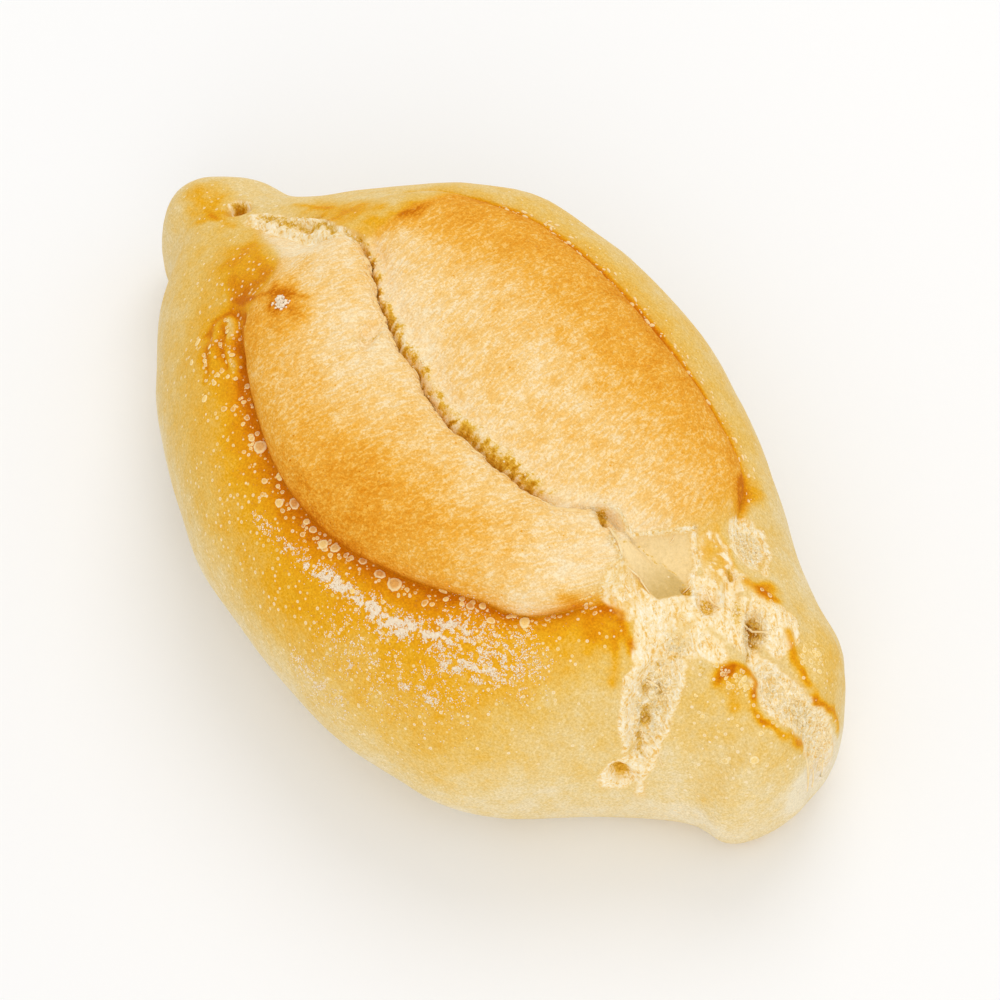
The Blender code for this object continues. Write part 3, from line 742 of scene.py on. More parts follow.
def slash_relief(x, y):
    """Height of the two lobes, the grooves along their rims and the crease between them."""
    near = y - line_y(x, NEAR_RIM)
    over = y - crease_y(x)
    far = line_y(x, FAR_RIM) - y
    near_lobe = NEAR_PUFF * climb(near, NEAR_GROOVE_IN) * climb(-over, NEAR_EDGE)
    far_lobe = FAR_PUFF * climb(far, FAR_GROOVE_IN) * climb(over, FAR_SLOPE)
    near_part = groove(near, NEAR_GROOVE, NEAR_GROOVE_OUT, NEAR_GROOVE_IN) + near_lobe
    far_part = groove(far, FAR_GROOVE, FAR_GROOVE_OUT, FAR_GROOVE_IN) + far_lobe
    crease = groove(over, CREASE_DEPTH, CREASE_STEP, CREASE_OUT) * span(x, CREASE_SPAN)
    return near_part * span(x, NEAR_SPAN) + far_part * span(x, FAR_SPAN) + crease


def relief(x, y, z):
    """Height of the finished surface over the plain loaf."""
    height = slash_relief(x, y) - heaped(x, y, TEARS.values()) + heaped(x, y, SWELLS.values())
    height = height - heaped(x, z, SIDE_TEARS.values()) * (y < line_y(x, NEAR_RIM))
    for size, length_x, length_y, phase in WAVES:
        wave = np.sin(2 * math.pi * x / length_x + phase) * np.cos(2 * math.pi * y / length_y - phase)
        height = height + size * wave
    return height


def roll_over(x, y):
    """How far the near lobe's edge leans over the crease."""
    over = y - crease_y(x)
    return ROLL_OVER * np.exp(-((over + ROLL_OVER) / ROLL_WIDTH) ** 2) * span(x, CREASE_SPAN)


def lattice(cells, seed):
    """A random number from 0 to 1 for each whole place."""
    i, j, k = (cells[..., axis].astype(np.uint32) for axis in range(3))
    mixed = (i * np.uint32(374761393) + j * np.uint32(668265263) + k * np.uint32(2246822519)
             + np.uint32(seed * 977))
    mixed = (mixed ^ (mixed >> np.uint32(13))) * np.uint32(1274126177)
    mixed = (mixed ^ (mixed >> np.uint32(16))) * np.uint32(2654435761)
    return (mixed >> np.uint32(8)) / float(1 << 24)


def lumps(points, size, seed):
    """Smooth noise from -1 to 1 with lumps of one size: lattice values joined by smooth steps."""
    place = points / size
    whole = np.floor(place).astype(np.int64)
    part = place - whole
    part = part * part * (3 - 2 * part)
    total = np.zeros(points.shape[:-1])
    for a, b, c in np.ndindex(2, 2, 2):
        weight = np.abs(1 - a - part[..., 0]) * np.abs(1 - b - part[..., 1]) * np.abs(1 - c - part[..., 2])
        total += weight * lattice(whole + (a, b, c), seed)
    return 2 * total - 1


def rough(points, kind):
    """Noise of a named kind: layers of lumps, each half the size and half the height of the one before."""
    strength, size, layers, seed, *drawn = NOISES[kind]
    if drawn:
        points = drawn_out(points, *drawn)
    total = np.zeros(points.shape[:-1])
    for layer in range(layers):
        total += lumps(points, size / 2 ** layer, seed + layer) / 2 ** layer
    return strength * total


def drawn_out(points, turn, length):
    """The points with the direction at a turn from +X pressed together, so that noise is drawn out there."""
    along, across = turned(points[..., 0], points[..., 1], turn)
    return np.stack([along / length, across, points[..., 2]], axis=-1)


def cell_middle(points, size, seed):
    """Sponge cells: 0 on their thin walls and 1 inside them, from the two nearest cell centres."""
    place = points / size
    whole = np.floor(place).astype(np.int64)
    nearest = np.full(points.shape[:-1], np.inf)
    second = nearest
    for step in np.ndindex(3, 3, 3):
        cell = whole + step - 1
        gap = sum((cell[..., axis] + lattice(cell, seed + axis) - place[..., axis]) ** 2 for axis in range(3))
        second = np.minimum(second, np.maximum(gap, nearest))
        nearest = np.minimum(nearest, gap)
    return ease(*CELL_WALL, np.sqrt(second) - np.sqrt(nearest))


def to_path(x, y, path):
    """Distance in plan from every point to a path of straight stretches."""
    nearest = np.full(x.shape, np.inf)
    for (x0, y0), (x1, y1) in zip(path[:-1], path[1:]):
        run_x, run_y = x1 - x0, y1 - y0
        share = np.clip(((x - x0) * run_x + (y - y0) * run_y) / (run_x ** 2 + run_y ** 2), 0, 1)
        nearest = np.minimum(nearest, np.hypot(x - x0 - share * run_x, y - y0 - share * run_y))
    return nearest


def stroke(x, y, path, width):
    """1 on a path, falling like a bell to either side."""
    return np.exp(-(to_path(x, y, path) / width) ** 2)


def inside(x, y, corners):
    """True inside a closed path: a straight line from there towards +X crosses it an odd number of times."""
    odd = np.zeros(x.shape, bool)
    for (x0, y0), (x1, y1) in zip(corners, corners[1:] + corners[:1]):
        odd ^= ((y0 > y) != (y1 > y)) & (x < (x1 - x0) * (y - y0) / (y1 - y0) + x0)
    return odd


def run_down(points, column):
    """Length along each section from one column: a running sum of the steps between points, in mm."""
    step = np.linalg.norm(np.diff(points, axis=1), axis=-1)
    total = np.concatenate([np.zeros((len(points), 1)), np.cumsum(step, axis=1)], axis=1)
    return np.abs(total - total[:, column:column + 1])


def torn_places(x, y):
    """Shares of the skin that tore open as the roll rose: the near lobe and the far lobe."""
    rims = ease(*NEAR_RIM_EDGE, y - line_y(x, NEAR_RIM)) * ease(*FAR_RIM_EDGE, line_y(x, FAR_RIM) - y)
    side = ease(*CREASE_EDGE, y - crease_y(x))
    near_start = ease(*START_EDGE, y - line_y(x, TORN_EDGE))
    far_start = ease(*START_EDGE, x - FAR_LOBE_START - FAR_LOBE_SLANT * y)
    stop = 1 - ease(*SLASH_STOP, x)
    return rims * (1 - side) * near_start * stop, rims * side * far_start * stop


def crust_bake(x, y, z, near_run, far_run):
    """How brown the outer crust is: darkest in the groove by the near rim, palest low on the sides."""
    near_share = 1 - ease(*CREASE_BLEND, y - line_y(x, CREASE))
    band = line_y(x, BAND_BAKES) * np.exp(-(near_run / line_y(x, BAND_WIDTHS)) ** BAND_FALL)
    rim_band = RIM_BAND_BAKE * np.exp(-(near_run / RIM_BAND_WIDTH) ** 2)
    groove = GROOVE_BAKE * np.exp(-near_run / GROOVE_WIDTH)
    near_bake = band + (rim_band + groove) * span(x, GROOVE_SPAN)
    far_line = line_y(x, FAR_LINE_BAKES) * np.exp(-((far_run - FAR_LINE_PLACE) / FAR_LINE_WIDTH) ** 2)
    far_bake = (far_line + FAR_BAND_BAKE * np.exp(-far_run / FAR_BAND_WIDTH)) * span(x, FAR_SPAN)
    level = CRUST_PALEST + CROWN_BAKE * ease(*CROWN_HEIGHTS, z)
    level = level + near_share * near_bake + (1 - near_share) * far_bake
    return level + BASE_BAKE * (1 - ease(*BASE_LINE, z))


def baked_places(x, y, points):
    """How much browner the baked places are, their edges made ragged by noise."""
    x, y = x + rough(points, "baked_shift_x"), y + rough(points, "baked_shift_y")
    return (1 + rough(points, "mottling")) * heaped(x, y, BAKED_PLACES.values())


def baked_lines(x, y, points):
    """How much browner the baked lines are, each one wandering a little and coming and going."""
    wander = rough(points, "line_wander")
    mean, least, most = LINE_STRENGTH
    faint = np.clip(mean + rough(points, "line_strength"), least, most)
    return faint * sum(amount * stroke(x + wander, y - wander, path, width)
                       for width, _, amount, path in BAKED_LINES.values())


def lobe_bake(x, over, near_run, far_run):
    """How brown the lobes are: brown towards the rims, pale cream towards the crease."""
    width = line_y(x, NEAR_LOBE_WIDTHS)
    near = NEAR_PALEST + line_y(x, NEAR_LOBE_BAKES) * (1 - ease(NEAR_FULL * width, width, near_run))
    edge, edge_width = NEAR_EDGE_BAKE
    near = near + edge * np.exp(-near_run / edge_width) - NEAR_END_PALE * ease(*NEAR_END, x)
    line, place, line_width = FAR_INNER_LINE
    far = FAR_PALEST + FAR_LOBE_BAKE * (1 - ease(*FAR_LOBE_WIDTHS, far_run))
    far = far + line * np.exp(-((far_run - place) / line_width) ** 2)
    far = far - FAR_PALE * np.exp(-np.maximum(over - line_y(x, CRUMBLY_REACH), 0) / FAR_PALE_WIDTH)
    return near, far


def crumb_share(x, y, z, points):
    """Where open crumb shows: in tears, places of its own and pale edges, less what has browned."""
    grown = np.array([TEARS[name][:5] for name in CRUMB_TEARS]) * (1, 1, CRUMB_GROW, CRUMB_GROW, 1)
    crumb = np.max([spot(x, y, place) for place in (*grown, *CRUMB_PLACES.values())], axis=0)
    share, wider = RIDGE_CRUMB
    for width, _, path in PALE_RIDGES.values():
        crumb = np.maximum(crumb, share * stroke(x, y, path, wider * width))
    crumb = np.maximum(crumb, HOLE_RIM_CRUMB * stroke(x, z, SIDE_HOLE_RIM, HOLE_RIM_WIDTH) * (y < 0))
    crumb = ease(*TOP_MARKS, z) * ease(*CRUMB_EDGE, crumb + rough(points, "crumb_edge"))
    for width, _, _, path in BAKED_LINES.values():
        crumb = crumb * (1 - LINE_COVER * stroke(x, y, path, width))
    toasted = ease(*TOASTED_EDGE, rough(points, "toasted"))
    for place in TOASTED:
        crumb = crumb * (1 - place[-1] * toasted * spot(x, y, place))
    return crumb


def pocket_shares(x, y, points):
    """Where the hollow behind the membrane is, and the painted light and shade of each of its two panels."""
    depth_in = to_path(x, y, POCKET + POCKET[:1]) * np.where(inside(x, y, POCKET), 1, -1)
    pocket = ease(*POCKET_EDGE, depth_in + rough(points, "pocket_edge"))
    far_panel = ease(*FOLD_EDGE, y - line_y(x, POCKET_FOLD))
    return pocket, PANEL_LIGHT * far_panel + (1 - far_panel) * (1 - ease(*POCKET_SHADE, x))


def looks(x, y, z, points):
    """Shares and levels of every finish for every point of the skin, each from 0 to 1."""
    near_run = run_down(points, sum(NEAR_STRIPS))
    far_run = run_down(points, sum(NEAR_STRIPS + LOBE_STRIPS))
    near_torn, far_torn = torn_places(x, y)
    torn = near_torn + far_torn
    over = y - crease_y(x)
    near, far = lobe_bake(x, over, near_run, far_run)
    bake = crust_bake(x, y, z, near_run, far_run) * (1 - torn) + near * near_torn + far * far_torn
    bake = bake + rough(points, "patches") + rough(points, "streaks") * torn
    bake = bake + ease(*TOP_MARKS, z) * (baked_places(x, y, points) + baked_lines(x, y, points))
    past = over - line_y(x, CRUMBLY_REACH) + rough(points, "crumbly_end")
    crease = ease(*CRUMBLY_START, over) * (1 - ease(0, CRUMBLY_FALL, past)) * span(x, CREASE_SPAN)
    crumb = crumb_share(x, y, z, points)
    pocket, panel = pocket_shares(x, y, points)
    speckled = SPECKLED_LEAST + heaped(x, y, SPECKLED)
    return {
        "bake": np.clip(bake, 0, 1),
        "torn": np.clip(torn * (1 - crumb), 0, 1),
        "near_lobe": near_torn,
        "crumb": crumb * (1 - LINE_COVER * pocket),
        "pocket": pocket,
        "panel": panel,
        "crease": crease,
        "speckled": (np.clip(speckled, 0, 1) * (1 - torn) + PORED * torn) * (1 - crumb),
    }


def sponge_relief(x, y, points):
    """Depth of the sponge's cells, and how strongly sponge shows."""
    depth, share = np.zeros(x.shape), np.zeros(x.shape)
    for number, (*place, size, deep) in enumerate(SPONGE.values()):
        here = spot(x, y, place)
        cells = cell_middle(drawn_out(points, place[-1], SPONGE_DRAW), size, 100 + 10 * number)
        depth = depth + here * deep * cells
        share = np.maximum(share, here)
    return depth, share


def fine_relief(x, y, z, points, finish):
    """Height of what is too fine for the solid: sponge in the crumb, lumps on the lobes, a rough crust."""
    top = ease(*TOP_MARKS, z)
    sponge, share = sponge_relief(x, y, points)
    strands, crumbs, crease_bits = (rough(points, kind) for kind in ("strands", "crumbs", "crease_bits"))
    height = -sponge + STRAND_HEIGHT * finish["crumb"] * (1 - share) * strands
    for kind in ("lobe_lumps", "lobe_fibres", "lobe_grain"):
        height += finish["torn"] * rough(points, kind)
    height += (1 - finish["torn"]) * rough(points, "crust_lumps")
    height += finish["crease"] * (CREASE_FILL + CREASE_BIT_HEIGHT * crease_bits)
    height += top * heaped(x, y, FILLS)
    for width, rise, *_, path in (*PALE_RIDGES.values(), *BAKED_LINES.values()):
        height += top * rise * stroke(x, y, path, width)
    # Painted shade in hollows: darker the deeper the sponge's cells, pits and cuts, in the side hole and
    # between the crease's bits
    pit_shade = SPONGE_DARK * sponge / max(place[-1] for place in SPONGE.values())
    for place in PITS:
        ragged = top * spot(x + PIT_SHIFT * crumbs, y - PIT_SHIFT * strands, place)
        height -= place[-1] * ragged
        pit_shade = np.maximum(pit_shade, (PIT_DARK[0] + PIT_DARK[1] * place[-1]) * ragged)
    for width, depth, path in CUT_LINES.values():
        cut = stroke(x + CUT_SHIFT[0] * crumbs, y + CUT_SHIFT[1] * crease_bits, path, width)
        height -= depth * cut
        pit_shade = np.maximum(pit_shade, (CUT_DARK[0] + CUT_DARK[1] * depth) * cut)
    for place in SIDE_TEARS.values():
        pit_shade = np.maximum(pit_shade, SIDE_HOLE_DARK * spot(x, z, place) * (y < line_y(x, NEAR_RIM)))
    between = 1 - ease(*CREASE_BIT_EDGE, crease_bits)
    pit_shade = np.maximum(pit_shade, finish["crease"] * (CREASE_DARK[0] + CREASE_DARK[1] * between))
    finish["pit_shade"] = np.clip(pit_shade, 0, 1)
    finish["sponge"] = share * finish["crumb"]
    return height


def make_skin():
    """The roll's skin: the plain loaf's grid moved along its normals by the relief, coarse and fine."""
    plain = plain_loaf()
    x, y, z = plain[..., 0], plain[..., 1], plain[..., 2]
    free = ease(RELIEF_FROM, RELIEF_FULL, z)
    finish = looks(x, y, z, plain)
    height = relief(x, y, z) + fine_relief(x, y, z, plain, finish)
    points = plain + normals(plain) * (height * free)[..., None]
    points[..., 1] += roll_over(x, y) * ease(RELIEF_FULL, 2 * RELIEF_FULL, z)
    points[..., :2] -= BOX_CENTRE
    white = np.exp(-(np.linalg.norm(plain - WHITE_END[:3], axis=-1) / WHITE_END[3]) ** 4)
    finish["flour"] = np.maximum(flour_weight(x, y), WHITE_FLOUR * white)
    finish["bake"] = np.clip(finish["bake"] - WHITE_PALE * white, 0, 1)
    return points, finish, plain


def grid_faces(rows, columns):
    """Quads of a grid whose columns close on themselves, and a fan of triangles at each end."""
    i, j = np.meshgrid(np.arange(rows - 1), np.arange(columns), indexing="ij")
    k = (j + 1) % columns
    quads = np.stack([i * columns + j, (i + 1) * columns + j, (i + 1) * columns + k, i * columns + k], -1)
    ring = np.arange(columns)
    turn = (ring + 1) % columns
    end = (rows - 1) * columns
    first = np.stack([np.full(columns, rows * columns), ring, turn], -1)
    last = np.stack([np.full(columns, rows * columns + 1), end + turn, end + ring], -1)
    return quads.reshape(-1, 4), np.concatenate([first, last])


def many_faces(rows, columns, count):
    """The faces of several such grids of one size, whose points follow one another."""
    skip = np.arange(count)[:, None, None] * (rows * columns + 2)
    return [(faces + skip).reshape(-1, faces.shape[1]) for faces in grid_faces(rows, columns)]


def new_piece(name, vertices, face_groups, material, values=None):
    """A piece at the origin from arrays: places in mm, faces of one or more sizes, point values."""
    mesh = bpy.data.meshes.new(name)
    faces = [face for group in face_groups for face in group.tolist()]
    mesh.from_pydata((vertices * MM).tolist(), [], faces, shade_flat=False)
    mesh.validate()
    for key, value in (values or {}).items():
        mesh.attributes.new(key, "FLOAT", "POINT").data.foreach_set("value", value.astype(np.float32).ravel())
    mesh.materials.append(material)
    piece = bpy.data.objects.new(name, mesh)
    bpy.context.collection.objects.link(piece)
    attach(piece, "root")
    return piece


def tone(red, green, blue):
    """A colour seen on the roll, as screen values from 0 to 255, made linear by the screens' usual curve."""
    share = np.array([red, green, blue]) / 255
    level = np.where(share <= 0.04045, share / 12.92, ((share + 0.055) / 1.055) ** 2.4)
    return (*(float(v) for v in level), 1.0)


CRUST_TONES = (
    (0.00, tone(238, 224, 192)),
    (0.20, tone(233, 207, 147)),
    (0.40, tone(232, 190, 96)),
    (0.60, tone(233, 170, 28)),
    (0.80, tone(224, 145, 8)),
    (1.00, tone(203, 112, 0)),
)
LOBE_TONES = (
    (0.00, tone(246, 230, 194)),
    (0.22, tone(246, 219, 170)),
    (0.42, tone(243, 199, 122)),
    (0.62, tone(238, 174, 64)),
    (0.82, tone(227, 148, 32)),
    (1.00, tone(202, 112, 2)),
)
CRUMB_TONES = (
    (0.0, tone(238, 188, 98)),
    (0.35, tone(250, 224, 168)),
    (1.0, tone(255, 246, 222)),
)
# Tones of the painted shade in pits, cuts, holes and the crease, from none to deepest
PIT_TONES = (
    (0.0, tone(246, 222, 172)),
    (0.35, tone(240, 206, 130)),
    (0.6, tone(230, 182, 66)),
    (1.0, tone(192, 128, 8)),
)
# Painted shade in the sponge's cells
CELL_SHADE = tone(228, 200, 138)
# The hollow's panels: painted shade and painted light
POCKET_SHADE_AND_LIGHT = (tone(210, 178, 110), tone(252, 224, 168))
SPECK_TONES = (tone(243, 212, 140), tone(252, 234, 200))
FLOUR_TONE = tone(252, 237, 214)
BLISTER_TONES = (tone(247, 213, 134), tone(255, 238, 188))
# Small pieces: two tones and the levels of noise they lie at, how many patterns per metre, and roughness
SMALL_FINISHES = {
    "rim_flecks": (0.2, tone(244, 208, 136), 0.8, tone(252, 232, 184), 1500, 0.6),
    "edge_flakes": (0.25, tone(242, 202, 128), 0.75, tone(249, 224, 170), 900, 0.8),
    "flour": (0.3, tone(246, 226, 194), 0.7, tone(253, 242, 222), 2500, 0.95),
    "crumb_bits": (0.3, tone(244, 214, 152), 0.7, tone(253, 236, 194), 1800, 0.9),
    "strands": (0.3, tone(244, 214, 152), 0.7, tone(253, 236, 194), 900, 0.85),
}


def put(tree, socket, value):
    """Joins another node's output to a socket, or sets the socket's own value."""
    if isinstance(value, bpy.types.NodeSocket):
        tree.links.new(value, socket)
    else:
        socket.default_value = value


def add(tree, kind, inputs=None, **settings):
    """A node with its settings, and its inputs by name or number set or joined."""
    node = tree.nodes.new(kind)
    for key, value in settings.items():
        setattr(node, key, value)
    for key, value in (inputs or {}).items():
        put(tree, node.inputs[key], value)
    return node


def calc(tree, operation, first, second=0.0, third=0.0, clamp=False):
    """One step of arithmetic on patterns or numbers."""
    inputs = {0: first, 1: second, 2: third}
    return add(tree, "ShaderNodeMath", inputs, operation=operation, use_clamp=clamp).outputs[0]


def mixed(tree, first, second):
    """Two patterns in one, with more of the first."""
    first = calc(tree, "MULTIPLY", first, FIRST_SHARE)
    return calc(tree, "ADD", first, calc(tree, "MULTIPLY", second, 1 - FIRST_SHARE))


def sway(tree, value, strength, level):
    """The level moved up or down by a pattern around one half."""
    return calc(tree, "MULTIPLY_ADD", calc(tree, "SUBTRACT", value, 0.5), strength, level)


def stretch(tree, value, low, high):
    """0 at low, 1 at high and a straight climb between them, held inside 0 and 1."""
    inputs = {"Value": value, "From Min": low, "From Max": high}
    return add(tree, "ShaderNodeMapRange", inputs, clamp=True).outputs[0]


def blend(tree, share, first, second):
    """The first value at share 0, the second at 1."""
    return add(tree, "ShaderNodeMix", {0: share, 2: first, 3: second}).outputs[0]


def blend_colours(tree, share, first, second):
    """The first colour at share 0, the second at 1."""
    return add(tree, "ShaderNodeMix", {0: share, 6: first, 7: second}, data_type="RGBA").outputs[2]


def ramp(tree, share, stops):
    """Colours along a share, joined smoothly."""
    node = add(tree, "ShaderNodeValToRGB", {"Fac": share})
    elements = node.color_ramp.elements
    elements[0].position, elements[0].color = stops[0]
    elements[1].position, elements[1].color = stops[-1]
    for place, colour in stops[1:-1]:
        elements.new(place).color = colour
    return node.outputs["Color"]


def read(tree, name):
    """A value kept at the points of the mesh."""
    return add(tree, "ShaderNodeAttribute", attribute_name=name).outputs["Fac"]


def noise(tree, vector, scale, detail=2.0, roughness=0.5, wave=0.0):
    """A random pattern around one half."""
    inputs = {"Vector": vector, "Scale": scale, "Detail": detail, "Roughness": roughness, "Distortion": wave}
    return add(tree, "ShaderNodeTexNoise", inputs).outputs["Fac"]


def along_fibres(tree, vector, turn, draw=FIBRE_DRAW):
    """Coordinates turned to the fibres' direction and drawn out along it."""
    inputs = {"Vector": vector, "Rotation": (0, 0, math.radians(turn)), "Scale": (draw, 1, 1)}
    return add(tree, "ShaderNodeMapping", inputs, vector_type="TEXTURE").outputs["Vector"]


def specks(tree, place, amount):
    """Small pale bubbles in some cells of a random pattern, thinner in their middle; more where it's high."""
    cells = add(tree, "ShaderNodeTexVoronoi", {"Vector": place, "Scale": SPECK_SCALE})
    luck = add(tree, "ShaderNodeSeparateColor", {"Color": cells.outputs["Color"]})
    chance = calc(tree, "ADD", luck.outputs[0], calc(tree, "SUBTRACT", amount, 1.0))
    size = calc(tree, "MINIMUM", calc(tree, "MULTIPLY", chance, SPECK_GROWTH), SPECK_SIZE)
    depth = calc(tree, "SUBTRACT", size, cells.outputs["Distance"])
    middle = calc(tree, "MULTIPLY", stretch(tree, depth, *SPECK_MIDDLE), 0.5)
    return calc(tree, "SUBTRACT", stretch(tree, depth, *SPECK_EDGE), middle), luck.outputs[1]


def flour_dust(tree, place, flour, grit):
    """Where flour shows: clusters that close up as it gets thicker, broken by fine grit."""
    clusters = calc(tree, "MULTIPLY", noise(tree, place, *FLOUR_CLUSTERS), DUST_SHARES[1])
    thick = calc(tree, "MULTIPLY_ADD", flour, DUST_SHARES[0], clusters)
    thick = sway(tree, grit, DUST_SHARES[2], thick)
    some = calc(tree, "GREATER_THAN", flour, DUST_LEAST)
    return calc(tree, "MULTIPLY", stretch(tree, thick, *DUST_EDGE), some)


def lighter(tree, colour, value, strength):
    """The colour made lighter or darker by a pattern around one half, as painted shade of the fine grain."""
    inputs = {0: colour, "Scale": sway(tree, value, strength, 1.0)}
    return add(tree, "ShaderNodeVectorMath", inputs, operation="SCALE").outputs[0]


def start_material(name):
    """A new material's node tree, its shader and its Object coordinates."""
    material = bpy.data.materials.new(name)
    material.use_nodes = True
    tree = material.node_tree
    shader = tree.nodes["Principled BSDF"]
    place = add(tree, "ShaderNodeTexCoord").outputs["Object"]
    return material, tree, shader, place


def set_shader(tree, shader, colour, roughness, mirror):
    """The shader's colour, roughness and mirroring."""
    put(tree, shader.inputs["Base Color"], colour)
    put(tree, shader.inputs["Roughness"], roughness)
    shader.inputs["Specular IOR Level"].default_value = mirror


def crust_colour(tree, place, fibre, grain, grit):
    """Baking level plus noise picks a tone, apart for crust and torn lobes: brown grains are darker too, as
    painted shade.
    """
    level = sway(tree, noise(tree, place, *CLOUDS), CLOUD_STRENGTH, read(tree, "bake"))
    crust_level = sway(tree, grain, GRAIN_STRENGTH, sway(tree, grit, CRUST_GRIT[0], level))
    crust = lighter(tree, ramp(tree, crust_level, CRUST_TONES), grit, CRUST_GRIT[1])
    dot, luck = specks(tree, place, read(tree, "speckled"))
    speck_tone = blend_colours(tree, luck, *SPECK_TONES)
    crust = blend_colours(tree, calc(tree, "MULTIPLY", dot, SPECK_COVER), crust, speck_tone)
    fleck = stretch(tree, mixed(tree, fibre, grit), *FLECK_EDGE)
    lobe_level = sway(tree, fibre, FIBRE_STRENGTH, sway(tree, grit, LOBE_GRIT[0], level))
    lobe_level = sway(tree, fleck, FLECK_BAKE, lobe_level)
    lobe_level = calc(tree, "MULTIPLY_ADD", dot, PORE_BAKE, lobe_level)
    lobe = lighter(tree, ramp(tree, lobe_level, LOBE_TONES), grit, LOBE_GRIT[1])
    return blend_colours(tree, read(tree, "torn"), crust, lobe)


def crumb_colour(tree, colour, strand, grain, grit):
    """Pale open crumb over the crust, drawn out along strands, then the painted shade of its pits and hollow.
    """
    crumb = read(tree, "crumb")
    level = sway(tree, grit, CRUMB_GRIT, mixed(tree, strand, grain))
    level = calc(tree, "MULTIPLY", stretch(tree, level, *CRUMB_LEVELS), crumb)
    colour = blend_colours(tree, crumb, colour, ramp(tree, level, CRUMB_TONES))
    # The hollow's two panels in painted light and shade
    panel = blend_colours(tree, sway(tree, grain, PANEL_GRAIN, read(tree, "panel")), *POCKET_SHADE_AND_LIGHT)
    colour = blend_colours(tree, read(tree, "pocket"), colour, lighter(tree, panel, grit, PANEL_GRIT))
    # Painted shade in pits, cuts, holes and the crease, made lighter and darker with the grain
    pit_shade = sway(tree, grit, PIT_GRIT[0], sway(tree, grain, PIT_GRAIN, read(tree, "pit_shade")))
    pit_tone = lighter(tree, ramp(tree, pit_shade, PIT_TONES), grit, PIT_GRIT[1])
    return blend_colours(tree, stretch(tree, pit_shade, *PIT_EDGE), colour, pit_tone)


def sponge_cells(tree, place):
    """Fine sponge: 0 on its walls and 1 in its cells."""
    inputs = {"Vector": place, "Scale": SPONGE_SCALE}
    cells = add(tree, "ShaderNodeTexVoronoi", inputs, feature="DISTANCE_TO_EDGE")
    return stretch(tree, cells.outputs["Distance"], *CELL_EDGE)


def crust_finish():
    """Dry matt crust over lobes and crumb, rough to the touch."""
    material, tree, shader, place = start_material("crust")
    near_place = along_fibres(tree, place, NEAR_FIBRE_TURN)
    far_place = along_fibres(tree, place, FAR_FIBRE_TURN)
    inputs = {0: read(tree, "near_lobe"), 4: far_place, 5: near_place}
    fibre_place = add(tree, "ShaderNodeMix", inputs, data_type="VECTOR").outputs[1]
    fibre = noise(tree, fibre_place, *FIBRES)
    grain, grit = noise(tree, place, *GRAIN), noise(tree, place, *GRIT)
    strand = noise(tree, along_fibres(tree, place, THROAT_TURN, STRAND_DRAW), *STRANDS)
    colour = crumb_colour(tree, crust_colour(tree, place, fibre, grain, grit), strand, grain, grit)
    spongy = calc(tree, "MULTIPLY_ADD", read(tree, "crumb"), CRUMB_SPONGE, read(tree, "sponge"))
    cells = calc(tree, "MULTIPLY", sponge_cells(tree, place), spongy, clamp=True)
    # Painted shade in the sponge's cells
    colour = blend_colours(tree, calc(tree, "MULTIPLY", cells, CELL_COVER), colour, CELL_SHADE)
    dust = flour_dust(tree, place, read(tree, "flour"), grit)
    colour = blend_colours(tree, calc(tree, "MULTIPLY", dust, DUST_COVER), colour, FLOUR_TONE)
    torn = read(tree, "torn")
    roughness = calc(tree, "MULTIPLY_ADD", torn, TORN_ROUGHER, CRUST_ROUGHNESS)
    set_shader(tree, shader, colour, roughness, CRUST_MIRROR)
    height = blend(tree, read(tree, "crumb"), blend(tree, torn, grain, fibre), strand)
    height = calc(tree, "SUBTRACT", height, calc(tree, "MULTIPLY", cells, CELL_RELIEF))
    height = sway(tree, grit, GRIT_RELIEF, height)
    height = calc(tree, "MULTIPLY_ADD", dust, DUST_RELIEF, height)
    inputs = {"Strength": BUMP_STRENGTH, "Distance": BUMP_HEIGHT, "Height": height}
    put(tree, shader.inputs["Normal"], add(tree, "ShaderNodeBump", inputs).outputs["Normal"])
    return material


def blister_finish():
    """Thin pale blisters, palest in a ring near their edge, with some of the crust's tone showing through."""
    material, tree, shader, place = start_material("blister")
    grit = noise(tree, place, *GRIT)
    crust = ramp(tree, sway(tree, grit, CRUST_GRIT[0], read(tree, "bake")), CRUST_TONES)
    colour = blend_colours(tree, read(tree, "pale"), crust, BLISTER_TONES[0])
    share = calc(tree, "MULTIPLY", stretch(tree, read(tree, "edge"), *RING_EDGE), RING_STRENGTH)
    # Painted shade of the fine grain
    colour = lighter(tree, blend_colours(tree, share, colour, BLISTER_TONES[1]), grit, CRUST_GRIT[1])
    set_shader(tree, shader, colour, BLISTER_ROUGHNESS, BLISTER_MIRROR)
    return material


def small_finish(name):
    """A finish for small pieces, whose tone noise picks."""
    low, dark, high, pale, scale, roughness = SMALL_FINISHES[name]
    material, tree, shader, place = start_material(name)
    colour = ramp(tree, noise(tree, place, scale, 3), ((low, dark), (high, pale)))
    set_shader(tree, shader, colour, roughness, SMALL_MIRROR)
    return material


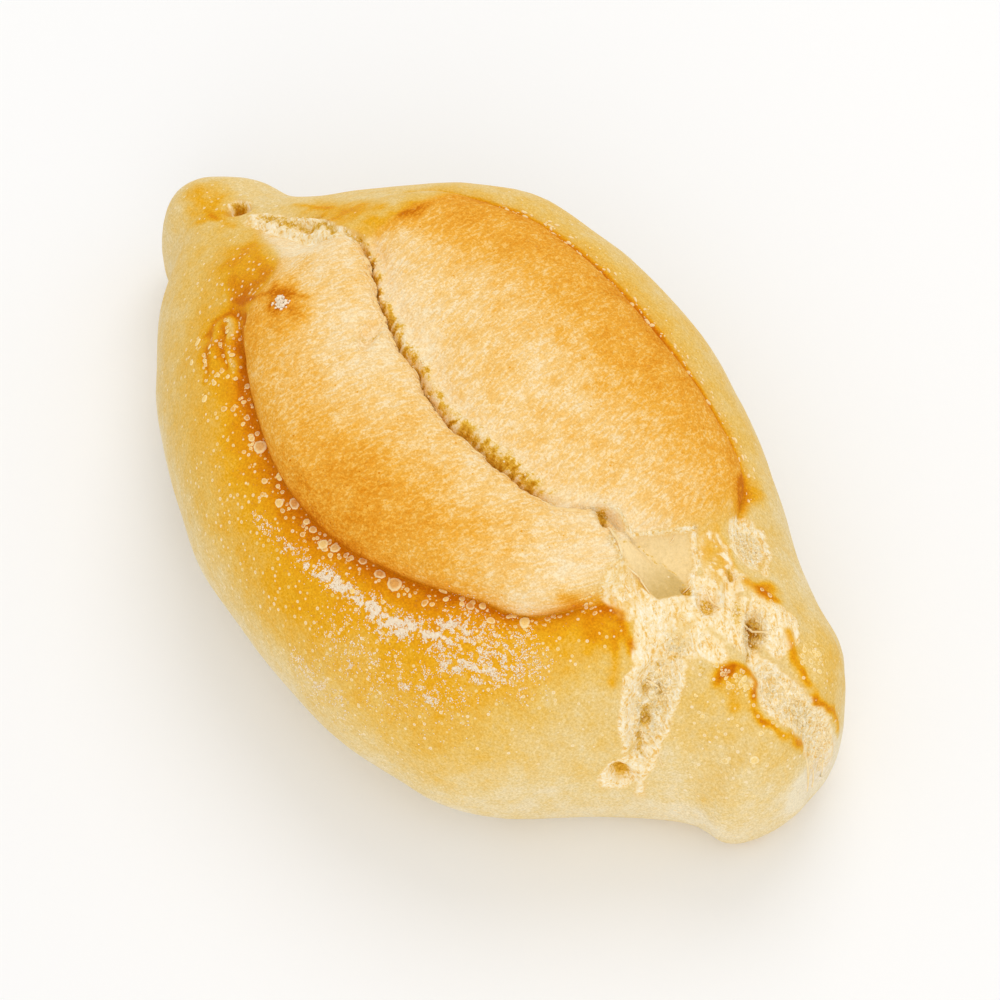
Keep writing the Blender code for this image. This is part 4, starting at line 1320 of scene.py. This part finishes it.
class Ground:
    """The skin's points that face up, with plan places before the box is centred, to set pieces on."""
    def __init__(self, points, plain, finish):
        """Keeps the points that don't hang over and aren't by the base."""
        outward = normals(points)
        kept = (outward[..., 2] > GROUND_SLOPE) & (points[..., 2] > GROUND_LOW)
        self.places, self.outward = points[kept], outward[kept]
        self.x, self.y = plain[..., 0][kept], plain[..., 1][kept]
        self.finish = {key: value[kept] for key, value in finish.items()}

    def under(self, plan):
        """The surface at each plan place: the mean of the four nearest points, by closeness."""
        places, outward = [], []
        for chunk in np.array_split(np.asarray(plan, float), max(1, len(plan) // 64)):
            gap = (self.x[None] - chunk[:, :1]) ** 2 + (self.y[None] - chunk[:, 1:2]) ** 2
            near = np.argpartition(gap, 4, axis=1)[:, :4]
            weight = 1 / (np.take_along_axis(gap, near, axis=1) + 0.01)
            weight = (weight / weight.sum(axis=1, keepdims=True))[..., None]
            places.append((self.places[near] * weight).sum(axis=1))
            outward.append((self.outward[near] * weight).sum(axis=1))
        outward = np.concatenate(outward)
        return np.concatenate(places), outward / np.linalg.norm(outward, axis=1, keepdims=True)

    def found_at(self, places, key):
        """A finish value at the surface's point nearest each place."""
        nearest = [np.argmin(((self.places - place) ** 2).sum(axis=1)) for place in places]
        return self.finish[key][nearest]

    def scatter(self, weight, count, jitter, draw):
        """Random points of the surface, more where the weight is high, shifted a little along it."""
        found = draw.choice(len(self.x), count, p=weight / weight.sum())
        first, second = directions(self.outward[found])
        shift = draw.uniform(-jitter, jitter, (count, 2))
        return self.places[found] + shift[:, :1] * first + shift[:, 1:] * second, self.outward[found]


def directions(outward, heading=DOME_HEADING):
    """Two directions along the skin for each outward direction, the second one near the heading."""
    first = np.cross(heading, outward)
    first /= np.linalg.norm(first, axis=-1, keepdims=True)
    return first, np.cross(outward, first)


def mostly_small(draw, count, least, more, power):
    """Random values from the least up to so much more, closer to the least the higher the power."""
    return least + more * draw.random(count) ** power


def domes(centres, outward, radius, height, draw, lengthen=1.0, heading=DOME_HEADING):
    """Low closed domes on the skin: rings of a wavy oval under a flattened arch, and a sunk base point."""
    first, second = directions(outward, heading)
    angle = np.arange(DOME_SIDES) * 2 * math.pi / DOME_SIDES
    reach = np.array(DOME_RINGS)
    rise = (1 - reach ** 2) ** DOME_ARCH - DOME_SINK[0] * (reach == 1)
    count = len(centres)
    oval = draw.standard_normal((count, 1)) * np.cos(2 * angle + draw.uniform(0, 6, (count, 1)))
    three_sided = np.cos(3 * angle + draw.uniform(0, 6, (count, 1)))
    wave = 1 + DOME_WAVES[0] * oval + DOME_WAVES[1] * three_sided
    cos_part = (radius[:, None] * wave * np.cos(angle))[:, None, :, None] * reach[None, :, None, None]
    sin_part = (lengthen * radius[:, None] * wave * np.sin(angle))[:, None, :, None]
    sin_part = sin_part * reach[None, :, None, None]
    up = (height[:, None] * rise)[:, :, None, None] * outward[:, None, None]
    rings = centres[:, None, None] + cos_part * first[:, None, None] + sin_part * second[:, None, None] + up
    top = centres + height[:, None] * outward
    base = centres - DOME_SINK[1] * height[:, None] * outward
    vertices = np.concatenate([rings.reshape(count, -1, 3), top[:, None], base[:, None]], axis=1)
    edge = np.concatenate([np.repeat(reach, DOME_SIDES), [0, 1]])
    return vertices.reshape(-1, 3), many_faces(len(DOME_RINGS), DOME_SIDES, count), np.tile(edge, count)


def grains(centres, outward, size, draw):
    """Rough grains: eight-sided lumps, each corner pushed in or out at random, pressed on the skin."""
    corners = np.array([(1, 0, 0), (0, 1, 0), (-1, 0, 0), (0, -1, 0), (0, 0, 1), (0, 0, -1)], float)
    sides = np.array([(0, 1, 4), (1, 2, 4), (2, 3, 4), (3, 0, 4), (1, 0, 5), (2, 1, 5), (3, 2, 5), (0, 3, 5)])
    count = len(centres)
    shape = corners[None] * draw.uniform(*GRAIN_CORNERS, (count, 6, 1)) * size[:, None, None]
    turn = draw.uniform(0, 2 * math.pi, (count, 1))
    first, second = directions(outward)
    first, second = first * np.cos(turn) + second * np.sin(turn), second * np.cos(turn) - first * np.sin(turn)
    vertices = (centres[:, None] + shape[..., :1] * first[:, None] + shape[..., 1:2] * second[:, None]
                + GRAIN_FLATNESS * shape[..., 2:] * outward[:, None])
    skip = np.arange(count)[:, None, None] * 6
    return vertices.reshape(-1, 3), [(sides[None] + skip).reshape(-1, 3)]


def tubes(paths, radius):
    """Closed tubes along paths of equal length: rings across the path, shrinking to a point at both ends."""
    count, steps = paths.shape[:2]
    along = np.gradient(paths, axis=1)
    along /= np.linalg.norm(along, axis=-1, keepdims=True)
    first, second = directions(along, THREAD_HEADING)
    angle = np.arange(THREAD_SIDES) * 2 * math.pi / THREAD_SIDES
    thick = np.sin(math.pi * (np.arange(steps) + 0.5) / steps) ** THREAD_TAPER
    width = (radius[:, None] * thick)[:, :, None, None]
    across = np.cos(angle)[:, None] * first[:, :, None] + np.sin(angle)[:, None] * second[:, :, None]
    rings = paths[:, :, None] + width * across
    ends = paths[:, [0, -1]] + np.array([[-THREAD_TIP], [THREAD_TIP]]) * along[:, [0, -1]]
    vertices = np.concatenate([rings.reshape(count, -1, 3), ends], axis=1)
    # The rings turn the other way than those of domes, so each face is turned over
    faces = [np.roll(group[:, ::-1], 1, axis=1) for group in many_faces(steps, THREAD_SIDES, count)]
    return vertices.reshape(-1, 3), faces


def add_skin(points, finish):
    """The roll's skin, with every finish value kept at its points, in place of the plain solid."""
    tips = [points[0].mean(axis=0), points[-1].mean(axis=0)]
    vertices = np.concatenate([points.reshape(-1, 3), tips])
    values = {}
    for key, value in finish.items():
        values[key] = np.concatenate([value.ravel(), value[0, :1], value[-1, :1]])
    skin = new_piece("roll_skin", vertices, grid_faces(*points.shape[:2]), crust_finish(), values=values)
    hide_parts("bread_roll")


def add_blisters(ground, draw):
    """Blisters: the large ones in place, the small ones outside the near rim and on the knob."""
    large = np.array(BLISTERS)
    centres, outward = ground.under(large[:, :2])
    gap = line_y(ground.x, NEAR_RIM) - ground.y
    least, usual, thinning = BLISTER_GAPS
    weight = np.exp(-np.abs(gap - usual) / thinning) * span(ground.x, BLISTER_SPAN) * (gap > least)
    weight += heaped(ground.x, ground.y, BLISTER_PLACES)
    small_centres, small_outward = ground.scatter(weight, SMALL_BLISTERS, BLISTER_SHIFT, draw)
    radius = np.concatenate([large[:, 2], mostly_small(draw, SMALL_BLISTERS, *BLISTER_RADII)])
    centres = np.concatenate([centres, small_centres])
    outward = np.concatenate([outward, small_outward])
    vertices, faces, edge = domes(centres, outward, radius, DOME_FLATNESS * radius, draw)
    each = len(edge) // len(radius)
    values = {
        "edge": edge,
        "bake": np.repeat(ground.found_at(centres, "bake"), each),
        "pale": np.repeat(draw.uniform(*BLISTER_PALE, len(radius)), each),
    }
    new_piece("blisters", vertices, faces, blister_finish(), values=values)


def add_rim_flecks(ground, draw):
    """Short pale chips of crust, lying along the far rim just outside it."""
    x = draw.uniform(*RIM_FLECK_SPAN, RIM_FLECKS)
    y = line_y(x, FAR_RIM) + mostly_small(draw, RIM_FLECKS, *RIM_FLECK_GAPS)
    centres, outward = ground.under(np.stack([x, y], axis=1))
    slope = line_y(x + 0.5, FAR_RIM) - line_y(x - 0.5, FAR_RIM)
    heading = np.stack([np.ones_like(x), slope, -RIM_FLECK_DROP * np.sign(x)], axis=1)
    radius = mostly_small(draw, RIM_FLECKS, *RIM_FLECK_RADII)
    heading = heading + draw.normal(0, CHIP_TURNS, heading.shape)
    height = RIM_FLECK_FLATNESS * radius
    vertices, faces, _ = domes(centres, outward, radius, height, draw, RIM_FLECK_LENGTH, heading)
    new_piece("rim_flecks", vertices, faces, small_finish("rim_flecks"))


def add_edge_flakes(ground, draw):
    """Torn flakes of the near lobe that reach over the crease."""
    x = draw.uniform(*EDGE_FLAKE_SPAN, EDGE_FLAKES)
    y = crease_y(x) - mostly_small(draw, EDGE_FLAKES, *EDGE_FLAKE_GAPS)
    centres, outward = ground.under(np.stack([x, y], axis=1))
    turn = math.radians(NEAR_FIBRE_TURN) + draw.normal(0, CHIP_TURNS, EDGE_FLAKES)
    heading = np.stack([np.cos(turn), np.sin(turn), np.full(EDGE_FLAKES, -EDGE_FLAKE_DROP)], axis=1)
    radius = draw.uniform(*EDGE_FLAKE_RADII, EDGE_FLAKES)
    height = EDGE_FLAKE_FLATNESS * radius
    vertices, faces, _ = domes(centres, outward, radius, height, draw, EDGE_FLAKE_LENGTH, heading)
    new_piece("edge_flakes", vertices, faces, small_finish("edge_flakes"))


def flour_weight(x, y):
    """How thick the flour lies over a plan place."""
    return np.max([amount * stroke(x, y, path, width) for amount, width, path in FLOUR_STREAKS], axis=0)


def add_flour(ground, draw):
    """Flour: loose grains in clusters along the streaks, and one white lump by the near rim's end."""
    weight = flour_weight(ground.x, ground.y) ** FLOUR_GATHER
    centres, outward = ground.scatter(weight + 1e-9, 3 * FLOUR_GRAINS, FLOUR_SHIFT, draw)
    clustered = rough(centres, "flour_clusters") + draw.normal(0, FLOUR_STRAY, len(centres)) > FLOUR_LEVEL
    centres, outward = centres[clustered][:FLOUR_GRAINS], outward[clustered][:FLOUR_GRAINS]
    size = mostly_small(draw, len(centres), *FLOUR_SIZES)
    spread = draw.normal(0, LUMP_SPREAD, (LUMP_GRAINS, 2))
    lump, lump_outward = ground.under(np.array(LUMP_PLACE) + spread)
    rise = LUMP_HEIGHT * np.exp(-(spread ** 2).sum(axis=1) / LUMP_SPREAD) * draw.random(LUMP_GRAINS)
    lump = lump + lump_outward * rise[:, None]
    centres, outward = np.concatenate([centres, lump]), np.concatenate([outward, lump_outward])
    size = np.concatenate([size, draw.uniform(*LUMP_SIZES, LUMP_GRAINS)])
    vertices, faces = grains(centres, outward, size, draw)
    new_piece("flour", vertices, faces, small_finish("flour"))


def add_crumb_bits(ground, draw):
    """Loose bits of crumb in the tears and along the crease."""
    in_crumb, in_pits, in_crease = CRUMB_BIT_SHARES
    weight = ground.finish["crumb"] ** 2 * (in_crumb + in_pits * ground.finish["pit_shade"])
    weight = (weight + in_crease * ground.finish["crease"]) * (ground.x > NUB_END)
    centres, outward = ground.scatter(weight, CRUMB_BITS, CRUMB_BIT_SHIFT, draw)
    vertices, faces = grains(centres, outward, mostly_small(draw, CRUMB_BITS, *CRUMB_BIT_SIZES), draw)
    new_piece("crumb_bits", vertices, faces, small_finish("crumb_bits"))


def add_strands(ground, draw):
    """Threads of torn crumb: the named ones and random short ones, lifted in the middle."""
    share = np.linspace(0, 1, THREAD_STEPS)
    plans, lifts, radius = [], [], []
    for thick, lift, path in THREADS:
        place = np.linspace(0, 1, len(path))
        plans.append(np.stack([np.interp(share, place, part) for part in zip(*path)], axis=1))
        lifts.append(lift)
        radius.append(thick)
    weight = ground.finish["crumb"] ** 2
    for start in draw.choice(len(ground.x), SHORT_THREADS, p=weight / weight.sum()):
        turn = math.radians(THROAT_TURN) + draw.normal(0, THREAD_TURNS)
        heading = turn + draw.normal(0, THREAD_BENDS) * share
        step = draw.uniform(*THREAD_LENGTHS) / THREAD_STEPS
        x = ground.x[start] + np.cumsum(np.cos(heading)) * step
        y = ground.y[start] + np.cumsum(np.sin(heading)) * step
        plans.append(np.stack([x, y], axis=1))
        lifts.append(draw.uniform(*THREAD_LIFTS))
        radius.append(draw.uniform(*THREAD_RADII))
    plans = np.array(plans)
    places, outward = (part.reshape(*plans.shape[:2], 3) for part in ground.under(plans.reshape(-1, 2)))
    paths = places + outward * (np.array(lifts)[:, None] * np.sin(math.pi * share))[..., None]
    vertices, faces = tubes(paths, np.array(radius))
    new_piece("strands", vertices, faces, small_finish("strands"))


CAMERA_TURN = 49.0         # degrees: the camera looks along +Y turned by this towards -X
CAMERA_RISE = 60.0
CAMERA_DISTANCE = 0.4925
CAMERA_LENS = 120.0
CAMERA_AIM = (0.00837, -0.00088, 0.022)
# Lamps: turn and rise of the direction they shine from, distance, size and power
LAMPS = {
    "key": (215.0, 55.0, 0.9, 0.6, 1.9),
    "fill": (52.0, 35.0, 1.0, 0.9, 2.4),
}
ROOM_LIGHT = 0.78
ROOM_COLOUR = (1.0, 0.99, 0.975, 1.0)
FLOOR_COLOUR = (0.93, 0.93, 0.93, 1.0)
FLOOR_ROUGHNESS = 0.9
FLOOR_MIRROR = 0.1
FLOOR_HALF = 3.0


def away(turn, rise, distance):
    """The place at a distance from the aim, seen by looking from it along the turn and down the rise."""
    turn, rise = math.radians(turn), math.radians(rise)
    level = distance * math.cos(rise)
    return (CAMERA_AIM[0] + level * math.sin(turn), CAMERA_AIM[1] - level * math.cos(turn),
            CAMERA_AIM[2] + distance * math.sin(rise))


def look_at(thing, aim):
    """Turns a camera or lamp so that it points at the aim, upright."""
    direction = np.array(aim) - np.array(thing.location)
    flat = math.hypot(direction[0], direction[1])
    thing.rotation_euler = (math.atan2(flat, -direction[2]), 0, math.atan2(-direction[0], direction[1]))


def add_camera():
    """The camera, at the angle and distance that the photo was taken from."""
    camera = bpy.data.objects.new("camera", bpy.data.cameras.new("camera"))
    bpy.context.collection.objects.link(camera)
    camera.data.lens = CAMERA_LENS
    camera.data.clip_start = 0.01
    camera.location = away(CAMERA_TURN, CAMERA_RISE, CAMERA_DISTANCE)
    look_at(camera, CAMERA_AIM)
    bpy.context.scene.camera = camera


def add_light():
    """A white room, a wide lamp high behind the roll and a weaker one on the camera's side."""
    for name, (turn, rise, distance, size, power) in LAMPS.items():
        lamp = bpy.data.objects.new(name, bpy.data.lights.new(name, "AREA"))
        bpy.context.collection.objects.link(lamp)
        lamp.data.shape = "DISK"
        lamp.data.size = size
        lamp.data.energy = power
        lamp.location = away(turn, rise, distance)
        look_at(lamp, CAMERA_AIM)
    world = bpy.data.worlds.new("room")
    world.use_nodes = True
    background = world.node_tree.nodes["Background"]
    background.inputs["Color"].default_value = ROOM_COLOUR
    background.inputs["Strength"].default_value = ROOM_LIGHT
    bpy.context.scene.world = world
    bpy.context.scene.view_settings.view_transform = "Standard"


def add_floor():
    """A plain pale floor."""
    mesh = bpy.data.meshes.new("floor")
    corners = [(i * FLOOR_HALF, j * FLOOR_HALF, 0) for i, j in ((-1, -1), (1, -1), (1, 1), (-1, 1))]
    mesh.from_pydata(corners, [], [(0, 1, 2, 3)])
    floor = bpy.data.objects.new("floor", mesh)
    bpy.context.collection.objects.link(floor)
    material = bpy.data.materials.new("floor")
    material.use_nodes = True
    tree = material.node_tree
    set_shader(tree, tree.nodes["Principled BSDF"], FLOOR_COLOUR, FLOOR_ROUGHNESS, FLOOR_MIRROR)
    mesh.materials.append(material)


def main():
    """The whole scene; each kind of small piece has random numbers of its own."""
    points, finish, plain = make_skin()
    add_skin(points, finish)
    ground = Ground(points, plain, finish)
    for add_pieces, seed in ((add_blisters, 7), (add_rim_flecks, 11), (add_edge_flakes, 12),
                             (add_flour, 8), (add_crumb_bits, 9), (add_strands, 10)):
        add_pieces(ground, np.random.default_rng(seed))
    add_camera()
    add_light()
    add_floor()


main()
